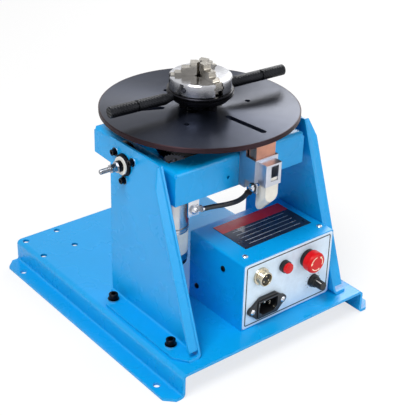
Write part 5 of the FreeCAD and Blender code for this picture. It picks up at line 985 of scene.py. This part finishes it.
@dataclass
class Studio:
    """Floor, soft lights and the camera."""

    azimuth_deg: float = -39.82
    elevation_deg: float = 29.09
    roll_deg: float = -1.847
    place: tuple[float, float, float] = (-0.6015, -0.7579, 0.6365)
    lens_mm: float = 90.69
    sensor_mm: float = 36.0
    clip: tuple[float, float] = (0.01, 20.0)
    floor_colour: str = "#ffffff"
    floor_half: float = 6.0
    floor_drop: float = 0.2 * MM
    floor_glow: float = 0.72
    aim: tuple[float, float, float] = (0.0, -0.02, 0.13)
    room_fill: float = 0.17
    room_white: float = 1.0

    def camera(self) -> None:
        """Places the camera at the machine's three-quarter view from the left."""
        a, e, r = (math.radians(v) for v in (self.azimuth_deg, self.elevation_deg, self.roll_deg))
        back = Vector((math.sin(a) * math.cos(e), -math.cos(a) * math.cos(e), math.sin(e)))
        right = Vector((0, 0, 1)).cross(back).normalized()
        up = back.cross(right)
        side = right * math.cos(r) - up * math.sin(r)
        top = right * math.sin(r) + up * math.cos(r)
        data = bpy.data.cameras.new("camera")
        data.sensor_width, data.lens = self.sensor_mm, self.lens_mm
        data.clip_start, data.clip_end = self.clip
        thing = bpy.data.objects.new("camera", data)
        bpy.context.collection.objects.link(thing)
        turn = Matrix((side, top, back)).transposed().to_4x4()
        thing.matrix_world = Matrix.Translation(self.place) @ turn
        bpy.context.scene.camera = thing

    def floor(self) -> None:
        """Lays a wide pale floor that stays white to the camera and keeps a soft shadow."""
        shape = bmesh.new()
        bmesh.ops.create_grid(shape, x_segments=1, y_segments=1, size=self.floor_half,
                              matrix=Matrix.Translation((0, 0, -self.floor_drop)))
        mesh = bpy.data.meshes.new("floor")
        shape.to_mesh(mesh)
        shape.free()
        material = bpy.data.materials.new("pale_floor")
        material.use_nodes = True
        tree = material.node_tree
        shader = tree.nodes["Principled BSDF"]
        shader.inputs["Base Color"].default_value = linear(self.floor_colour)
        shader.inputs["Roughness"].default_value = 0.9
        shader.inputs["Specular IOR Level"].default_value = 0.1
        path = add_node(tree, "ShaderNodeLightPath")
        glow = add_node(tree, "ShaderNodeEmission", {"Color": (1, 1, 1, 1), "Strength": 1.0})
        share = add_node(tree, "ShaderNodeMath", {1: self.floor_glow},
                         {0: path.outputs["Is Camera Ray"]}, operation="MULTIPLY")
        mix = add_node(tree, "ShaderNodeMixShader",
                       links={0: share.outputs[0], 1: shader.outputs[0], 2: glow.outputs[0]})
        tree.links.new(mix.outputs[0], tree.nodes["Material Output"].inputs["Surface"])
        mesh.materials.append(material)
        thing = bpy.data.objects.new("floor", mesh)
        bpy.context.collection.objects.link(thing)

    def lamp(self, name: str, place: tuple[float, float, float], size: float, watts: float) -> None:
        """Hangs one soft square lamp that looks at the machine.

        Args:
            name: The lamp's name.
            place: Where it hangs, in metres.
            size: Its side, in metres.
            watts: Its power.
        """
        data = bpy.data.lights.new(name, "AREA")
        data.size, data.energy = size, watts
        thing = bpy.data.objects.new(name, data)
        thing.location = place
        beam = Vector(self.aim) - Vector(place)
        thing.rotation_mode = "QUATERNION"
        thing.rotation_quaternion = beam.to_track_quat("-Z", "Y")
        bpy.context.collection.objects.link(thing)

    def world(self) -> None:
        """Fills the room with an even pale light and shows white behind the machine and in its gloss."""
        world = bpy.data.worlds.new("room")
        bpy.context.scene.world = world
        world.use_nodes = True
        tree = world.node_tree
        ground = tree.nodes["Background"]
        path = add_node(tree, "ShaderNodeLightPath")
        seen = add_node(tree, "ShaderNodeMath", links={0: path.outputs["Is Camera Ray"],
                                                       1: path.outputs["Is Glossy Ray"]}, operation="MAXIMUM")
        strength = add_node(tree, "ShaderNodeMapRange",
                            {"To Min": self.room_fill, "To Max": self.room_white},
                            {"Value": seen.outputs[0]})
        ground.inputs["Color"].default_value = (1, 1, 1, 1)
        tree.links.new(strength.outputs["Result"], ground.inputs["Strength"])

    def build(self) -> None:
        """Sets the stage."""
        bpy.context.scene.view_settings.view_transform = "Standard"
        self.floor()
        self.lamp("key_light", (-0.95, -0.35, 1.75), 0.9, 33.0)
        self.lamp("front_light", (0.75, -1.8, 0.8), 1.2, 15.0)
        self.lamp("back_light", (1.25, 0.75, 0.95), 0.8, 12.0)
        self.world()
        self.camera()


def main() -> None:
    """Builds the stage and every sub-assembly."""
    logging.basicConfig(level=logging.INFO)
    shop = Workshop()
    Studio().build()
    for part in (Base(shop), TiltingFrame(shop), EarthBrush(shop),
                 TurntableAndChuck(shop), ControlBox(shop)):
        part.build()
        LOG.info("built %s", type(part).__name__)


if __name__ == "__main__":
    main()
